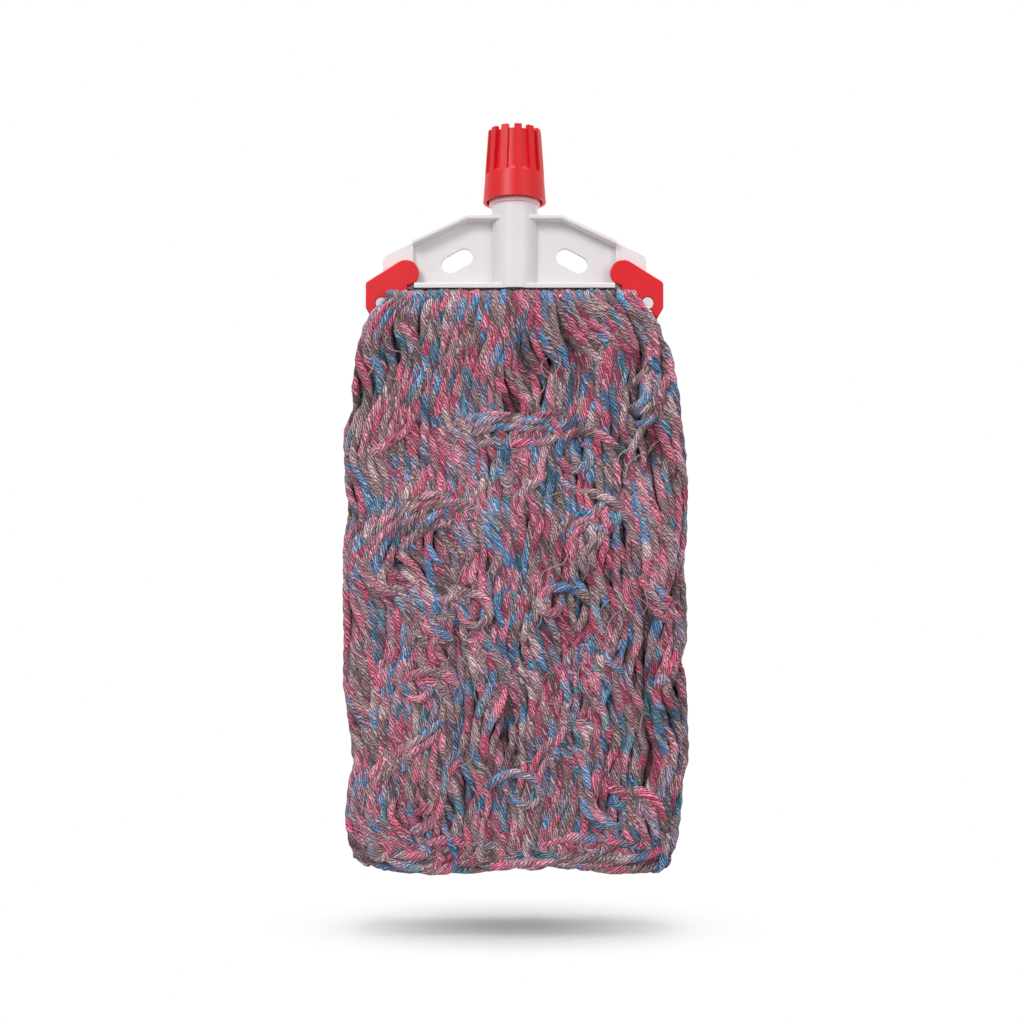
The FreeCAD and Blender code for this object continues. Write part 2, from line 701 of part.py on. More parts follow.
def make_seam_thread(side, word):
    """Sewing thread drawn along the fold's seam."""
    rod = doc.addObject("Part::Cylinder", word + "_seam_thread")
    rod.Label = word + "_seam_thread"
    rod.Placement = FreeCAD.Placement(V(0, 0, 0), FreeCAD.Rotation(V(0, 1, 0), 90))
    rod.setExpression("Radius", term("seam_thread_radius"))
    rod.setExpression("Height", term("fold_half_length * 2"))
    rod.setExpression("Placement.Base.x", term("0 - fold_half_length"))
    seat = "(fold_half_depth - seam_depth + seam_thread_radius + 0.1)"
    rod.setExpression("Placement.Base.y", term("%d * %s" % (side, seat)))
    rod.setExpression("Placement.Base.z", term(down("seam_drop")))
    return rod


# Levels of a hank from its top to its loops: drop, half width of the whole curtain there,
# depth to the hank's face, and how much of the grooves and of the swell the level takes.
HANK_LEVELS = [
    ("curtain_top_drop", "yarn_top_half", "curtain_top_depth", 0.2),
    ("curtain_bend_drop", "yarn_bend_half", "curtain_half_depth", 0.4),
    ("yarn_shoulder_drop", "yarn_shoulder_half", "curtain_half_depth", 1.0),
    ("yarn_full_drop", "yarn_full_half", "curtain_half_depth", 1.0),
    ("yarn_middle_drop", "yarn_full_half", "curtain_half_depth", 1.0),
    ("yarn_belly_drop", "yarn_full_half", "curtain_half_depth", 1.0),
    ("yarn_low_drop", "yarn_low_half", "curtain_half_depth", 1.0),
    ("curtain_bottom_drop", "yarn_bottom_half", "curtain_bottom_depth", 0.4),
]
# Between these shares of its width a hank's face is full, and beyond them it falls to a groove.
FULL_FROM = 0.3
FULL_TO = 0.7


def hollow(level, corner):
    """Share of the swell, 0 to 1, by which a hank's face lies back at one of its corners."""
    return 0.5 - 0.5 * math.sin(2.1 * level + 1.3 * corner)


def make_hank(side, word, index):
    """One hank of a curtain: yarn bunched between two grooves, cleared for the fold at its top."""
    body = new_body("%s_hank_%d" % (word, index + 1))
    low = (2 * index - HANKS_PER_CURTAIN) / HANKS_PER_CURTAIN
    width = 2 / HANKS_PER_CURTAIN
    left_groove = "curtain_edge_round" if index == 0 else "hank_groove"
    right_groove = "curtain_edge_round" if index == HANKS_PER_CURTAIN - 1 else "hank_groove"
    sections = []
    for level, (drop, half, depth, taken) in enumerate(HANK_LEVELS):

        def across(share, gap="0"):
            return "%.5f * %s + (%s)" % (low + width * share, half, gap)

        def face(corner, groove="0"):
            lies_back = hollow(level + side, 4 * index + corner)
            return "%d * (%s - %.1f * (%.3f * hank_swell + %s))" % (
                side, depth, taken, lies_back, groove)

        inner = "%d * curtain_gap" % side
        left = across(0, "hank_gap / 2")
        right = across(1, "0 - hank_gap / 2")
        sketch = new_sketch(body, "section_%d" % (level + 1), "XY_Plane", down(drop))
        polygon(sketch, [
            (left, inner),
            (right, inner),
            (right, face(3, right_groove)),
            (across(FULL_TO), face(2)),
            (across(FULL_FROM), face(1)),
            (left, face(0, left_groove)),
        ])
        sections.append(sketch)
    bunch = body.newObject("PartDesign::AdditiveLoft", "bunch")
    bunch.Profile = sections[0]
    bunch.Sections = sections[1:]
    bunch.Ruled = True
    space = new_sketch(body, "fold_space_outline", "YZ_Plane")
    back = "%d * (fold_half_depth + curtain_gap)" % side
    floor = down("fold_bottom_drop + curtain_gap")
    polygon(space, [("0", floor), (back, floor), (back, up("1")), ("0", up("1"))])
    pocket(body, "fold_space", space, "3 * yarn_full_half")
    return body


SIDES = ((-1, "left"), (1, "right"))
FACES = ((-1, "front"), (1, "back"))

pieces = [make_socket_frame(), make_locking_collar(), make_split_collet()]
for sign, name in SIDES:
    pieces.append(make_end_clip(sign, name))
    pieces.append(make_pivot_pin(sign, name))
pieces += [make_gripper_bar(), make_headband(), make_yarn_fold()]
for sign, name in FACES:
    pieces.append(make_seam_thread(sign, name))
    for number in range(HANKS_PER_CURTAIN):
        pieces.append(make_hank(sign, name, number))

doc.recompute()
for item in doc.Objects:
    if "Invalid" in item.State or "Error" in item.State:
        raise RuntimeError("%s failed: %s" % (item.Name, item.State))
os.makedirs("parts", exist_ok=True)
for piece in pieces:
    shape = piece.Shape
    if shape.isNull() or not shape.isValid():
        raise RuntimeError(piece.Label + " has no valid shape")
    shape.exportStep("parts/%s.step" % piece.Label)
    print("%-18s %2d solid %12.1f mm3" % (piece.Label, len(shape.Solids), shape.Volume))
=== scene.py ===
# %% [markdown]
# A string mop head, dressed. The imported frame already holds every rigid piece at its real
# size: the moulded frame, its collar and collet, the two clips, their pins and the bar.
# Those meshes stay as they are and only get finishes here. The yarn is different: in the
# frame it is twelve lofted slabs and a block, so it is modelled strand by strand below.

# %% Load the frame
import math

import bpy
import numpy as np
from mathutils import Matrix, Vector
from mathutils.bvhtree import BVHTree


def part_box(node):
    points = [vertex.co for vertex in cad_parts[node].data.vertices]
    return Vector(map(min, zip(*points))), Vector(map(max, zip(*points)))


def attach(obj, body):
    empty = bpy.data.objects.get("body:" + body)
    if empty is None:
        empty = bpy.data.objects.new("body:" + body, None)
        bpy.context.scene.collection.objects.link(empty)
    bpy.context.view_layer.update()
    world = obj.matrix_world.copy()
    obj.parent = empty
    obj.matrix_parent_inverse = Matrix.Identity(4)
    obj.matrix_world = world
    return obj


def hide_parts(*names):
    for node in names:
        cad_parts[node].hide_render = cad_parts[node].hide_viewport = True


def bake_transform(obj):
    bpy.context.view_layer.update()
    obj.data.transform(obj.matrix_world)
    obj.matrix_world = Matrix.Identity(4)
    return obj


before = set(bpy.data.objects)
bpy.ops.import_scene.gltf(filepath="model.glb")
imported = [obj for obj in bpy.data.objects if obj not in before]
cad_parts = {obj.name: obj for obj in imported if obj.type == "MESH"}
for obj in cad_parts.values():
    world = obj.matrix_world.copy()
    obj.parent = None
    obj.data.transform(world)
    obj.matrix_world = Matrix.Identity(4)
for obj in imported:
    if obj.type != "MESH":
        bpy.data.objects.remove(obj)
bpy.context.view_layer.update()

MM = 0.001
ledge_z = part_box("socket_frame")[0][2]
yarn_low_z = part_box("front_hank_1")[0][2]
print("ledge at", round(ledge_z, 4), "yarn down to", round(yarn_low_z, 4))

# %% [markdown]
# The camera looks straight at the mop from 0.75 m, a little below the middle of the yarn, so
# the collar at the top is seen from underneath. The lens is worked out from the width that
# the frame has to cover at the mop's own distance.

# %% Camera
CAMERA_DISTANCE = 0.75
VIEW_WIDTH = 0.686
VIEW_CENTRE_X = -0.0017
VIEW_CENTRE_DROP = 0.148

camera_data = bpy.data.cameras.new("camera")
camera_data.sensor_width = 36.0
camera_data.lens = camera_data.sensor_width * CAMERA_DISTANCE / VIEW_WIDTH
camera = bpy.data.objects.new("camera", camera_data)
camera.location = (VIEW_CENTRE_X, -CAMERA_DISTANCE, ledge_z - VIEW_CENTRE_DROP)
camera.rotation_euler = (math.radians(90), 0, 0)
bpy.context.collection.objects.link(camera)
bpy.context.scene.camera = camera
bpy.context.scene.view_settings.view_transform = "Standard"
print("lens", round(camera_data.lens, 2), "mm")

# %% [markdown]
# Soft studio light: a large lamp in front of the mop on each side, and one overhead that
# draws the soft shadow on the floor. Round lamps of half a metre and more give the strands
# shading without hard edges. Small lamps or a sun would cut every strand's shadow out.


# %% Lamps
def area_lamp(name, place, aim, size, watts):
    data = bpy.data.lights.new(name, "AREA")
    data.shape = "DISK"
    data.size = size
    data.energy = watts
    lamp = bpy.data.objects.new(name, data)
    lamp.location = place
    facing = Vector(aim) - Vector(place)
    lamp.rotation_euler = facing.to_track_quat("-Z", "Y").to_euler()
    bpy.context.collection.objects.link(lamp)
    return lamp


MIDDLE = (0.0, 0.0, ledge_z - 0.15)
area_lamp("key_lamp", (-0.7, -1.3, 0.7), MIDDLE, 0.7, 12.0)
area_lamp("fill_lamp", (0.9, -1.2, 0.2), MIDDLE, 0.9, 5.0)
area_lamp("top_lamp", (0.0, 0.12, 1.2), MIDDLE, 0.95, 27.0)

# %% [markdown]
# The surround is an even white world. It could be one strength for all rays, but then a
# white background would also flood the mop with light. So it is full white only for rays
# from the camera, for reflections and through clear pieces, and dimmer as a light.

# %% Surround
SURROUND_LIGHT = 0.46
world = bpy.data.worlds.new("surround")
bpy.context.scene.world = world
world.use_nodes = True
tree = world.node_tree
tree.nodes.clear()
paths = tree.nodes.new("ShaderNodeLightPath")
seen = tree.nodes.new("ShaderNodeMath")
seen.operation = "MAXIMUM"
seen_or_through = tree.nodes.new("ShaderNodeMath")
seen_or_through.operation = "MAXIMUM"
tree.links.new(paths.outputs["Is Camera Ray"], seen.inputs[0])
tree.links.new(paths.outputs["Is Glossy Ray"], seen.inputs[1])
tree.links.new(seen.outputs[0], seen_or_through.inputs[0])
tree.links.new(paths.outputs["Is Transmission Ray"], seen_or_through.inputs[1])
dim = tree.nodes.new("ShaderNodeBackground")
dim.inputs["Color"].default_value = (1, 1, 1, 1)
dim.inputs["Strength"].default_value = SURROUND_LIGHT
bright = tree.nodes.new("ShaderNodeBackground")
bright.inputs["Color"].default_value = (1, 1, 1, 1)
bright.inputs["Strength"].default_value = 1.0
pick = tree.nodes.new("ShaderNodeMixShader")
tree.links.new(seen_or_through.outputs[0], pick.inputs["Fac"])
tree.links.new(dim.outputs[0], pick.inputs[1])
tree.links.new(bright.outputs[0], pick.inputs[2])
end = tree.nodes.new("ShaderNodeOutputWorld")
tree.links.new(pick.outputs[0], end.inputs["Surface"])
print("surround as a light", SURROUND_LIGHT)

# %% [markdown]
# The mop hangs a little above a pale floor that only has to catch its shadow. The floor is
# opaque under the mop and fades to clear in an ellipse, so that its edge never shows and the
# shadow thins out sideways. It fades three times as fast from front to back.

# %% Floor
FLOOR_COLOR = (0.60, 0.60, 0.60, 1)
FLOOR_DROP = 0.425
FLOOR_SIZE = 3.0
FLOOR_REACH = 0.178
FLOOR_NARROWING = 3.0
bpy.ops.object.select_all(action="DESELECT")
bpy.ops.mesh.primitive_circle_add(vertices=64, radius=FLOOR_SIZE / 2, fill_type="NGON",
                                  location=(0, 0, ledge_z - FLOOR_DROP))
floor = bpy.context.object
floor.name = "floor"

floor_paint = bpy.data.materials.new("floor_paint")
floor_paint.use_nodes = True
tree = floor_paint.node_tree
tree.nodes.clear()
matt = tree.nodes.new("ShaderNodeBsdfDiffuse")
matt.inputs["Color"].default_value = FLOOR_COLOR
clear = tree.nodes.new("ShaderNodeBsdfTransparent")
place = tree.nodes.new("ShaderNodeTexCoord")
stretched = tree.nodes.new("ShaderNodeVectorMath")
stretched.operation = "MULTIPLY"
stretched.inputs[1].default_value = (1, FLOOR_NARROWING, 1)
tree.links.new(place.outputs["Object"], stretched.inputs[0])
reach = tree.nodes.new("ShaderNodeVectorMath")
reach.operation = "LENGTH"
tree.links.new(stretched.outputs[0], reach.inputs[0])
fade = tree.nodes.new("ShaderNodeMapRange")
fade.interpolation_type = "SMOOTHSTEP"
fade.inputs["From Min"].default_value = 0.0
fade.inputs["From Max"].default_value = FLOOR_REACH
tree.links.new(reach.outputs["Value"], fade.inputs["Value"])
mix = tree.nodes.new("ShaderNodeMixShader")
tree.links.new(fade.outputs["Result"], mix.inputs["Fac"])
tree.links.new(matt.outputs[0], mix.inputs[1])
tree.links.new(clear.outputs[0], mix.inputs[2])
end = tree.nodes.new("ShaderNodeOutputMaterial")
tree.links.new(mix.outputs[0], end.inputs["Surface"])
floor.data.materials.append(floor_paint)
print("floor at", round(ledge_z - FLOOR_DROP, 4))

# %% [markdown]
# Shader trees are built here by code, because it can be read and run again, where nodes
# placed by hand can't. Two helpers keep that short: one adds a node with its values, and one
# starts a node group, which is an effect that several materials can place.


# %% Node helpers
def add_node(tree, kind, values=(), operation=None):
    """New node with some of its input values set by name or number."""
    node = tree.nodes.new("ShaderNode" + kind)
    if operation:
        node.operation = operation
    for key, value in dict(values).items():
        node.inputs[key].default_value = value
    return node


def new_group(name, inputs, outputs):
    """Empty shader group with named sockets, each a (name, kind, default)."""
    group = bpy.data.node_groups.new(name, "ShaderNodeTree")
    for label, kind, default in inputs:
        socket = group.interface.new_socket(label, in_out="INPUT", socket_type="NodeSocket" + kind)
        if default is not None:
            socket.default_value = default
    for label, kind in outputs:
        group.interface.new_socket(label, in_out="OUTPUT", socket_type="NodeSocket" + kind)
    start = group.nodes.new("NodeGroupInput")
    stop = group.nodes.new("NodeGroupOutput")
    return group, start, stop


print("helpers ready")

# %% [markdown]
# Moulded plastic is never quite even. The colour drifts a little over the piece, the gloss is
# broken by the texture of the mould, and fine flow marks catch the light. One node group puts
# out all three, and each plastic places it with its own values.

# %% Moulding marks
moulding, start, stop = new_group(
    "moulding",
    [("Color", "Color", (0.8, 0.8, 0.8, 1)), ("Drift", "Float", 0.06), ("Gloss", "Float", 0.3),
     ("Gloss Spread", "Float", 0.12), ("Grain Scale", "Float", 1400.0)],
    [("Color", "Color"), ("Roughness", "Float"), ("Height", "Float")])
coords = add_node(moulding, "TexCoord")
slow = add_node(moulding, "TexNoise", {"Scale": 38.0, "Detail": 3.0})
grain = add_node(moulding, "TexNoise", {"Detail": 2.0})
moulding.links.new(coords.outputs["Object"], slow.inputs["Vector"])
moulding.links.new(coords.outputs["Object"], grain.inputs["Vector"])
moulding.links.new(start.outputs["Grain Scale"], grain.inputs["Scale"])
shade = add_node(moulding, "Math", {1: -0.5}, "ADD")
moulding.links.new(slow.outputs["Fac"], shade.inputs[0])
shade_amount = add_node(moulding, "Math", {}, "MULTIPLY")
moulding.links.new(shade.outputs[0], shade_amount.inputs[0])
moulding.links.new(start.outputs["Drift"], shade_amount.inputs[1])
value = add_node(moulding, "Math", {1: 1.0}, "ADD")
moulding.links.new(shade_amount.outputs[0], value.inputs[0])
tinted = add_node(moulding, "HueSaturation")
moulding.links.new(start.outputs["Color"], tinted.inputs["Color"])
moulding.links.new(value.outputs[0], tinted.inputs["Value"])
moulding.links.new(tinted.outputs["Color"], stop.inputs["Color"])
gloss = add_node(moulding, "Math", {}, "MULTIPLY_ADD")
moulding.links.new(slow.outputs["Fac"], gloss.inputs[0])
moulding.links.new(start.outputs["Gloss Spread"], gloss.inputs[1])
moulding.links.new(start.outputs["Gloss"], gloss.inputs[2])
moulding.links.new(gloss.outputs[0], stop.inputs["Roughness"])
moulding.links.new(grain.outputs["Fac"], stop.inputs["Height"])
print("moulding group with", len(moulding.nodes), "nodes")

# %% [markdown]
# The plastics. The frame is white polypropylene with a soft gloss, and a little light spreads
# inside it. The collar and clips are a glossier red. The collet is left in the plastic's own
# colour. The band and its seam are cloth, but hardly show, so the same group serves them
# with a coarse grain and no gloss.

# %% Plastics
PLASTIC_IOR = 1.49
PLASTIC_SPECULAR = 0.38
GLOW_SPREAD = (1.0, 0.9, 0.85)
GLOW_DEPTH = 0.002


def plastic(name, color, gloss, spread, drift, grain_depth, glow=0.0):
    """Principled plastic fed by the moulding group; glow is light that spreads inside it."""
    material = bpy.data.materials.new(name)
    material.use_nodes = True
    tree = material.node_tree
    shader = tree.nodes["Principled BSDF"]
    group = tree.nodes.new("ShaderNodeGroup")
    group.node_tree = moulding
    group.inputs["Color"].default_value = (*color, 1)
    group.inputs["Drift"].default_value = drift
    group.inputs["Gloss"].default_value = gloss
    group.inputs["Gloss Spread"].default_value = spread
    bump = add_node(tree, "Bump", {"Strength": 0.35, "Distance": grain_depth})
    tree.links.new(group.outputs["Color"], shader.inputs["Base Color"])
    tree.links.new(group.outputs["Roughness"], shader.inputs["Roughness"])
    tree.links.new(group.outputs["Height"], bump.inputs["Height"])
    tree.links.new(bump.outputs["Normal"], shader.inputs["Normal"])
    shader.inputs["IOR"].default_value = PLASTIC_IOR
    shader.inputs["Specular IOR Level"].default_value = PLASTIC_SPECULAR
    if glow:
        shader.inputs["Subsurface Weight"].default_value = glow
        shader.inputs["Subsurface Radius"].default_value = GLOW_SPREAD
        shader.inputs["Subsurface Scale"].default_value = GLOW_DEPTH
    return material


def finish_node(node, material):
    """Give a carried-over CAD node its finish."""
    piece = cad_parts[node]
    piece.data.materials.clear()
    piece.data.materials.append(material)


white = plastic("white_plastic", (0.80, 0.77, 0.785), 0.32, 0.12, 0.05, 0.00005, 0.12)
red_collar = plastic("red_collar_plastic", (0.66, 0.006, 0.012), 0.33, 0.12, 0.16, 0.00004)
red_clip = plastic("red_clip_plastic", (0.70, 0.004, 0.013), 0.30, 0.12, 0.14, 0.00004)
natural = plastic("natural_plastic", (0.62, 0.58, 0.50), 0.45, 0.15, 0.08, 0.00006)
tape = plastic("band_tape", (0.58, 0.54, 0.50), 0.80, 0.10, 0.30, 0.0003)
thread = plastic("seam_thread", (0.62, 0.58, 0.54), 0.75, 0.10, 0.30, 0.0003)
for node, material in (
        ("socket_frame", white), ("gripper_bar", white), ("locking_collar", red_collar),
        ("left_end_clip", red_clip), ("right_end_clip", red_clip), ("left_pivot_pin", red_clip),
        ("right_pivot_pin", red_clip), ("split_collet", natural), ("headband", tape),
        ("front_seam_thread", thread), ("back_seam_thread", thread)):
    finish_node(node, material)
print("finishes on", len(bpy.data.materials), "materials")

# %% [markdown]
# Close under the collar its red light bounces onto the white ring and neck. The render's own
# bounce leaves it weak, so a painted red reflection is mixed into the white plastic there, by height.

# %% Painted red reflection under the collar
# painted reflection: the collar's red bounce light on the white plastic, and the heights where it
# fades in
RED_BOUNCE_COLOR = (0.95, 0.48, 0.52, 1)
RED_BOUNCE_START = 0.0032
RED_BOUNCE_FULL = 0.0022
RED_BOUNCE_SHARE = 0.75

tree = white.node_tree
shader = tree.nodes["Principled BSDF"]
plain = shader.inputs["Base Color"].links[0].from_socket
height = add_node(tree, "SeparateXYZ")
tree.links.new(add_node(tree, "TexCoord").outputs["Object"], height.inputs[0])
collar_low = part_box("locking_collar")[0][2]
painted_bounce_mask = add_node(tree, "MapRange", {"From Min": collar_low - RED_BOUNCE_START,
                                           "From Max": collar_low - RED_BOUNCE_FULL,
                                           "To Max": RED_BOUNCE_SHARE})
tree.links.new(height.outputs["Z"], painted_bounce_mask.inputs["Value"])
# painted reflection: the collar's red bounce light, mixed into the white's base colour by height
painted_red_bounce = tree.nodes.new("ShaderNodeMix")
painted_red_bounce.data_type = "RGBA"
painted_red_bounce.inputs["B"].default_value = RED_BOUNCE_COLOR
tree.links.new(painted_bounce_mask.outputs["Result"], painted_red_bounce.inputs["Factor"])
tree.links.new(plain, painted_red_bounce.inputs["A"])
tree.links.new(painted_red_bounce.outputs["Result"], shader.inputs["Base Color"])
print("blush from", round(collar_low - RED_BOUNCE_START, 4))

# %% [markdown]
# The yarn. Each strand is a soft bundle of about eleven fine threads laid up with a slow
# twist, some 6 mm thick, and dyed in short lengths. The threads lie at an angle, so each patch
# of dye ends in points. Modelling every thread would take millions of faces, so a node group
# draws them on the strand from its own UV map: U goes round the strand, and V runs along it
# in metres. The whole number in V is the strand's own number, which picks its colours.

# %% Twisted threads
THREADS = 11.0
LAY = -0.032
PATCH_LENGTH = 0.0125
RIDGE_SHARPNESS = 1.25
RAGGED_ENDS = 0.55
STRAND_SHIFT = 37.7
WOBBLES_PER_METRE = 110.0
FIBRES_PER_METRE = 90.0
FIBRES_PER_THREAD = 3.0

twist, start, stop = new_group(
    "twisted_threads",
    [("UV", "Vector", None), ("Threads", "Float", THREADS), ("Lay", "Float", LAY),
     ("Patch", "Float", PATCH_LENGTH), ("Stagger", "Float", 0.42), ("Wobble", "Float", 2.6)],
    [("Ridge", "Float"), ("Dye", "Float"), ("Depth", "Float"), ("Thread", "Float"),
     ("Shine", "Float"), ("Fibre", "Float")])
split = add_node(twist, "SeparateXYZ")
twist.links.new(start.outputs["UV"], split.inputs[0])
number = add_node(twist, "Math", {}, "FLOOR")
twist.links.new(split.outputs["Y"], number.inputs[0])
along = add_node(twist, "Math", {}, "FRACT")
twist.links.new(split.outputs["Y"], along.inputs[0])
turns = add_node(twist, "Math", {}, "DIVIDE")
twist.links.new(along.outputs[0], turns.inputs[0])
twist.links.new(start.outputs["Lay"], turns.inputs[1])
around = add_node(twist, "Math", {}, "ADD")
twist.links.new(turns.outputs[0], around.inputs[0])
twist.links.new(split.outputs["X"], around.inputs[1])
even_place = add_node(twist, "Math", {}, "MULTIPLY")
twist.links.new(around.outputs[0], even_place.inputs[0])
twist.links.new(start.outputs["Threads"], even_place.inputs[1])
turned_by = add_node(twist, "Math", {1: 2 * math.pi}, "MULTIPLY")
twist.links.new(split.outputs["X"], turned_by.inputs[0])
cosine = add_node(twist, "Math", {}, "COSINE")
twist.links.new(turned_by.outputs[0], cosine.inputs[0])
sine = add_node(twist, "Math", {}, "SINE")
twist.links.new(turned_by.outputs[0], sine.inputs[0])
down_strand = add_node(twist, "Math", {1: WOBBLES_PER_METRE}, "MULTIPLY")
twist.links.new(along.outputs[0], down_strand.inputs[0])
on_strand = add_node(twist, "CombineXYZ")
twist.links.new(cosine.outputs[0], on_strand.inputs["X"])
twist.links.new(sine.outputs[0], on_strand.inputs["Y"])
twist.links.new(down_strand.outputs[0], on_strand.inputs["Z"])
wobble = add_node(twist, "TexNoise", {"Scale": 1.6, "Detail": 2.0})
wobble.noise_dimensions = "4D"
twist.links.new(on_strand.outputs[0], wobble.inputs["Vector"])
twist.links.new(number.outputs[0], wobble.inputs["W"])
thread_place = add_node(twist, "Math", {}, "MULTIPLY_ADD")
twist.links.new(wobble.outputs["Fac"], thread_place.inputs[0])
twist.links.new(start.outputs["Wobble"], thread_place.inputs[1])
twist.links.new(even_place.outputs[0], thread_place.inputs[2])
across = add_node(twist, "Math", {}, "FRACT")
twist.links.new(thread_place.outputs[0], across.inputs[0])
rest = add_node(twist, "Math", {0: 1.0}, "SUBTRACT")
twist.links.new(across.outputs[0], rest.inputs[1])
hump = add_node(twist, "Math", {}, "MULTIPLY")
twist.links.new(across.outputs[0], hump.inputs[0])
twist.links.new(rest.outputs[0], hump.inputs[1])
hump_four = add_node(twist, "Math", {1: 4.0}, "MULTIPLY")
twist.links.new(hump.outputs[0], hump_four.inputs[0])
ridge = add_node(twist, "Math", {1: RIDGE_SHARPNESS}, "POWER")
twist.links.new(hump_four.outputs[0], ridge.inputs[0])
twist.links.new(ridge.outputs[0], stop.inputs["Ridge"])
thread_floor = add_node(twist, "Math", {}, "FLOOR")
twist.links.new(thread_place.outputs[0], thread_floor.inputs[0])
thread_number = add_node(twist, "Math", {}, "MODULO")
twist.links.new(thread_floor.outputs[0], thread_number.inputs[0])
twist.links.new(start.outputs["Threads"], thread_number.inputs[1])
pair = add_node(twist, "CombineXYZ")
twist.links.new(thread_number.outputs[0], pair.inputs["X"])
twist.links.new(number.outputs[0], pair.inputs["Y"])
own = add_node(twist, "TexWhiteNoise")
own.noise_dimensions = "2D"
twist.links.new(pair.outputs[0], own.inputs["Vector"])
twist.links.new(own.outputs["Value"], stop.inputs["Thread"])
own_split = add_node(twist, "SeparateColor")
twist.links.new(own.outputs["Color"], own_split.inputs[0])
twist.links.new(own_split.outputs[1], stop.inputs["Shine"])
patches = add_node(twist, "Math", {}, "DIVIDE")
twist.links.new(along.outputs[0], patches.inputs[0])
twist.links.new(start.outputs["Patch"], patches.inputs[1])
stagger = add_node(twist, "Math", {}, "MULTIPLY_ADD")
twist.links.new(own.outputs["Value"], stagger.inputs[0])
twist.links.new(start.outputs["Stagger"], stagger.inputs[1])
twist.links.new(patches.outputs[0], stagger.inputs[2])
row = add_node(twist, "Math", {1: STRAND_SHIFT}, "MULTIPLY")
twist.links.new(number.outputs[0], row.inputs[0])
dye_place = add_node(twist, "Math", {}, "ADD")
twist.links.new(stagger.outputs[0], dye_place.inputs[0])
twist.links.new(row.outputs[0], dye_place.inputs[1])
ragged = add_node(twist, "Math", {1: RAGGED_ENDS}, "MULTIPLY_ADD")
twist.links.new(dye_place.outputs[0], ragged.inputs[2])
dye = add_node(twist, "TexVoronoi", {"Scale": 1.0, "Randomness": 1.0})
dye.voronoi_dimensions = "1D"
twist.links.new(ragged.outputs[0], dye.inputs["W"])
dye_split = add_node(twist, "SeparateColor")
twist.links.new(dye.outputs["Color"], dye_split.inputs[0])
twist.links.new(dye_split.outputs[0], stop.inputs["Dye"])
twist.links.new(dye_split.outputs[1], stop.inputs["Depth"])
fibre_along = add_node(twist, "Math", {1: FIBRES_PER_METRE}, "MULTIPLY")
twist.links.new(along.outputs[0], fibre_along.inputs[0])
fibre_across = add_node(twist, "Math", {1: FIBRES_PER_THREAD}, "MULTIPLY")
twist.links.new(thread_place.outputs[0], fibre_across.inputs[0])
fibre_place = add_node(twist, "CombineXYZ")
twist.links.new(fibre_across.outputs[0], fibre_place.inputs["X"])
twist.links.new(fibre_along.outputs[0], fibre_place.inputs["Y"])
twist.links.new(number.outputs[0], fibre_place.inputs["Z"])
fibre = add_node(twist, "TexNoise", {"Scale": 1.0, "Detail": 3.0, "Roughness": 0.65})
twist.links.new(fibre_place.outputs[0], fibre.inputs["Vector"])
twist.links.new(fibre.outputs["Fac"], stop.inputs["Fibre"])
twist.links.new(fibre.outputs["Fac"], ragged.inputs[0])
print("twisted threads group with", len(twist.nodes), "nodes")

# %% [markdown]
# The dyes, as shares of the yarn's length: crimson, pink, grey-brown, blue, a violet grey, a
# pale undyed length, teal, brown and dark red. Of each strand's threads about a fifth stay
# grey all along. Light and shade are also painted into the colour: thread crests lighter and
# the valleys between threads darker, and what lies deeper in the yarn, by the attribute
# "under", darker too, as is the yarn near the ledge, to tone down the top lamp there. Where
# that painted brightness, with each thread's random tone, runs high, the colour goes pale, a
# painted highlight, and not brighter pink.

# %% Yarn finish
DYES = [
    (0.00, (0.52, 0.066, 0.145)),
    (0.19, (0.52, 0.150, 0.225)),
    (0.32, (0.25, 0.138, 0.160)),
    (0.47, (0.050, 0.200, 0.400)),
    (0.61, (0.190, 0.170, 0.270)),
    (0.71, (0.42, 0.29, 0.30)),
    (0.79, (0.055, 0.215, 0.310)),
    (0.85, (0.25, 0.155, 0.150)),
    (0.92, (0.38, 0.075, 0.150)),
]

def product(tree, masks):
    """Several masks multiplied together."""
    result = masks[0]
    for mask in masks[1:]:
        step = add_node(tree, "Math", {}, "MULTIPLY")
        tree.links.new(result, step.inputs[0])
        tree.links.new(mask, step.inputs[1])
        result = step.outputs[0]
    return result


yarn = bpy.data.materials.new("dyed_yarn")
yarn.use_nodes = True
tree = yarn.node_tree
shader = tree.nodes["Principled BSDF"]
own_map = tree.nodes.new("ShaderNodeUVMap")
own_map.uv_map = "strand"
group = tree.nodes.new("ShaderNodeGroup")
group.node_tree = twist
tree.links.new(own_map.outputs["UV"], group.inputs["UV"])
ramp = tree.nodes.new("ShaderNodeValToRGB")
ramp.color_ramp.interpolation = "CONSTANT"
while len(ramp.color_ramp.elements) < len(DYES):
    ramp.color_ramp.elements.new(0.5)
for element, (where, color) in zip(ramp.color_ramp.elements, DYES):
    element.position = where
    element.color = (*color, 1)
tree.links.new(group.outputs["Dye"], ramp.inputs["Fac"])
UNDYED = (0.27, 0.165, 0.195, 1)
# pale tone of the painted highlight on the brightest threads
PALE_HIGHLIGHT = (0.64, 0.46, 0.50, 1)
STRAY_PALE = (0.88, 0.74, 0.74, 1)
undyed_share = add_node(tree, "MapRange", {"From Min": 0.76, "From Max": 0.80, "To Max": 0.8})
tree.links.new(group.outputs["Thread"], undyed_share.inputs["Value"])
dyed = tree.nodes.new("ShaderNodeMix")
dyed.data_type = "RGBA"
dyed.inputs["B"].default_value = UNDYED
tree.links.new(undyed_share.outputs["Result"], dyed.inputs["Factor"])
tree.links.new(ramp.outputs["Color"], dyed.inputs["A"])
light = add_node(tree, "MapRange", {"From Min": 0.25, "From Max": 0.75, "To Min": 0.48, "To Max": 1.7})
tree.links.new(group.outputs["Fibre"], light.inputs["Value"])
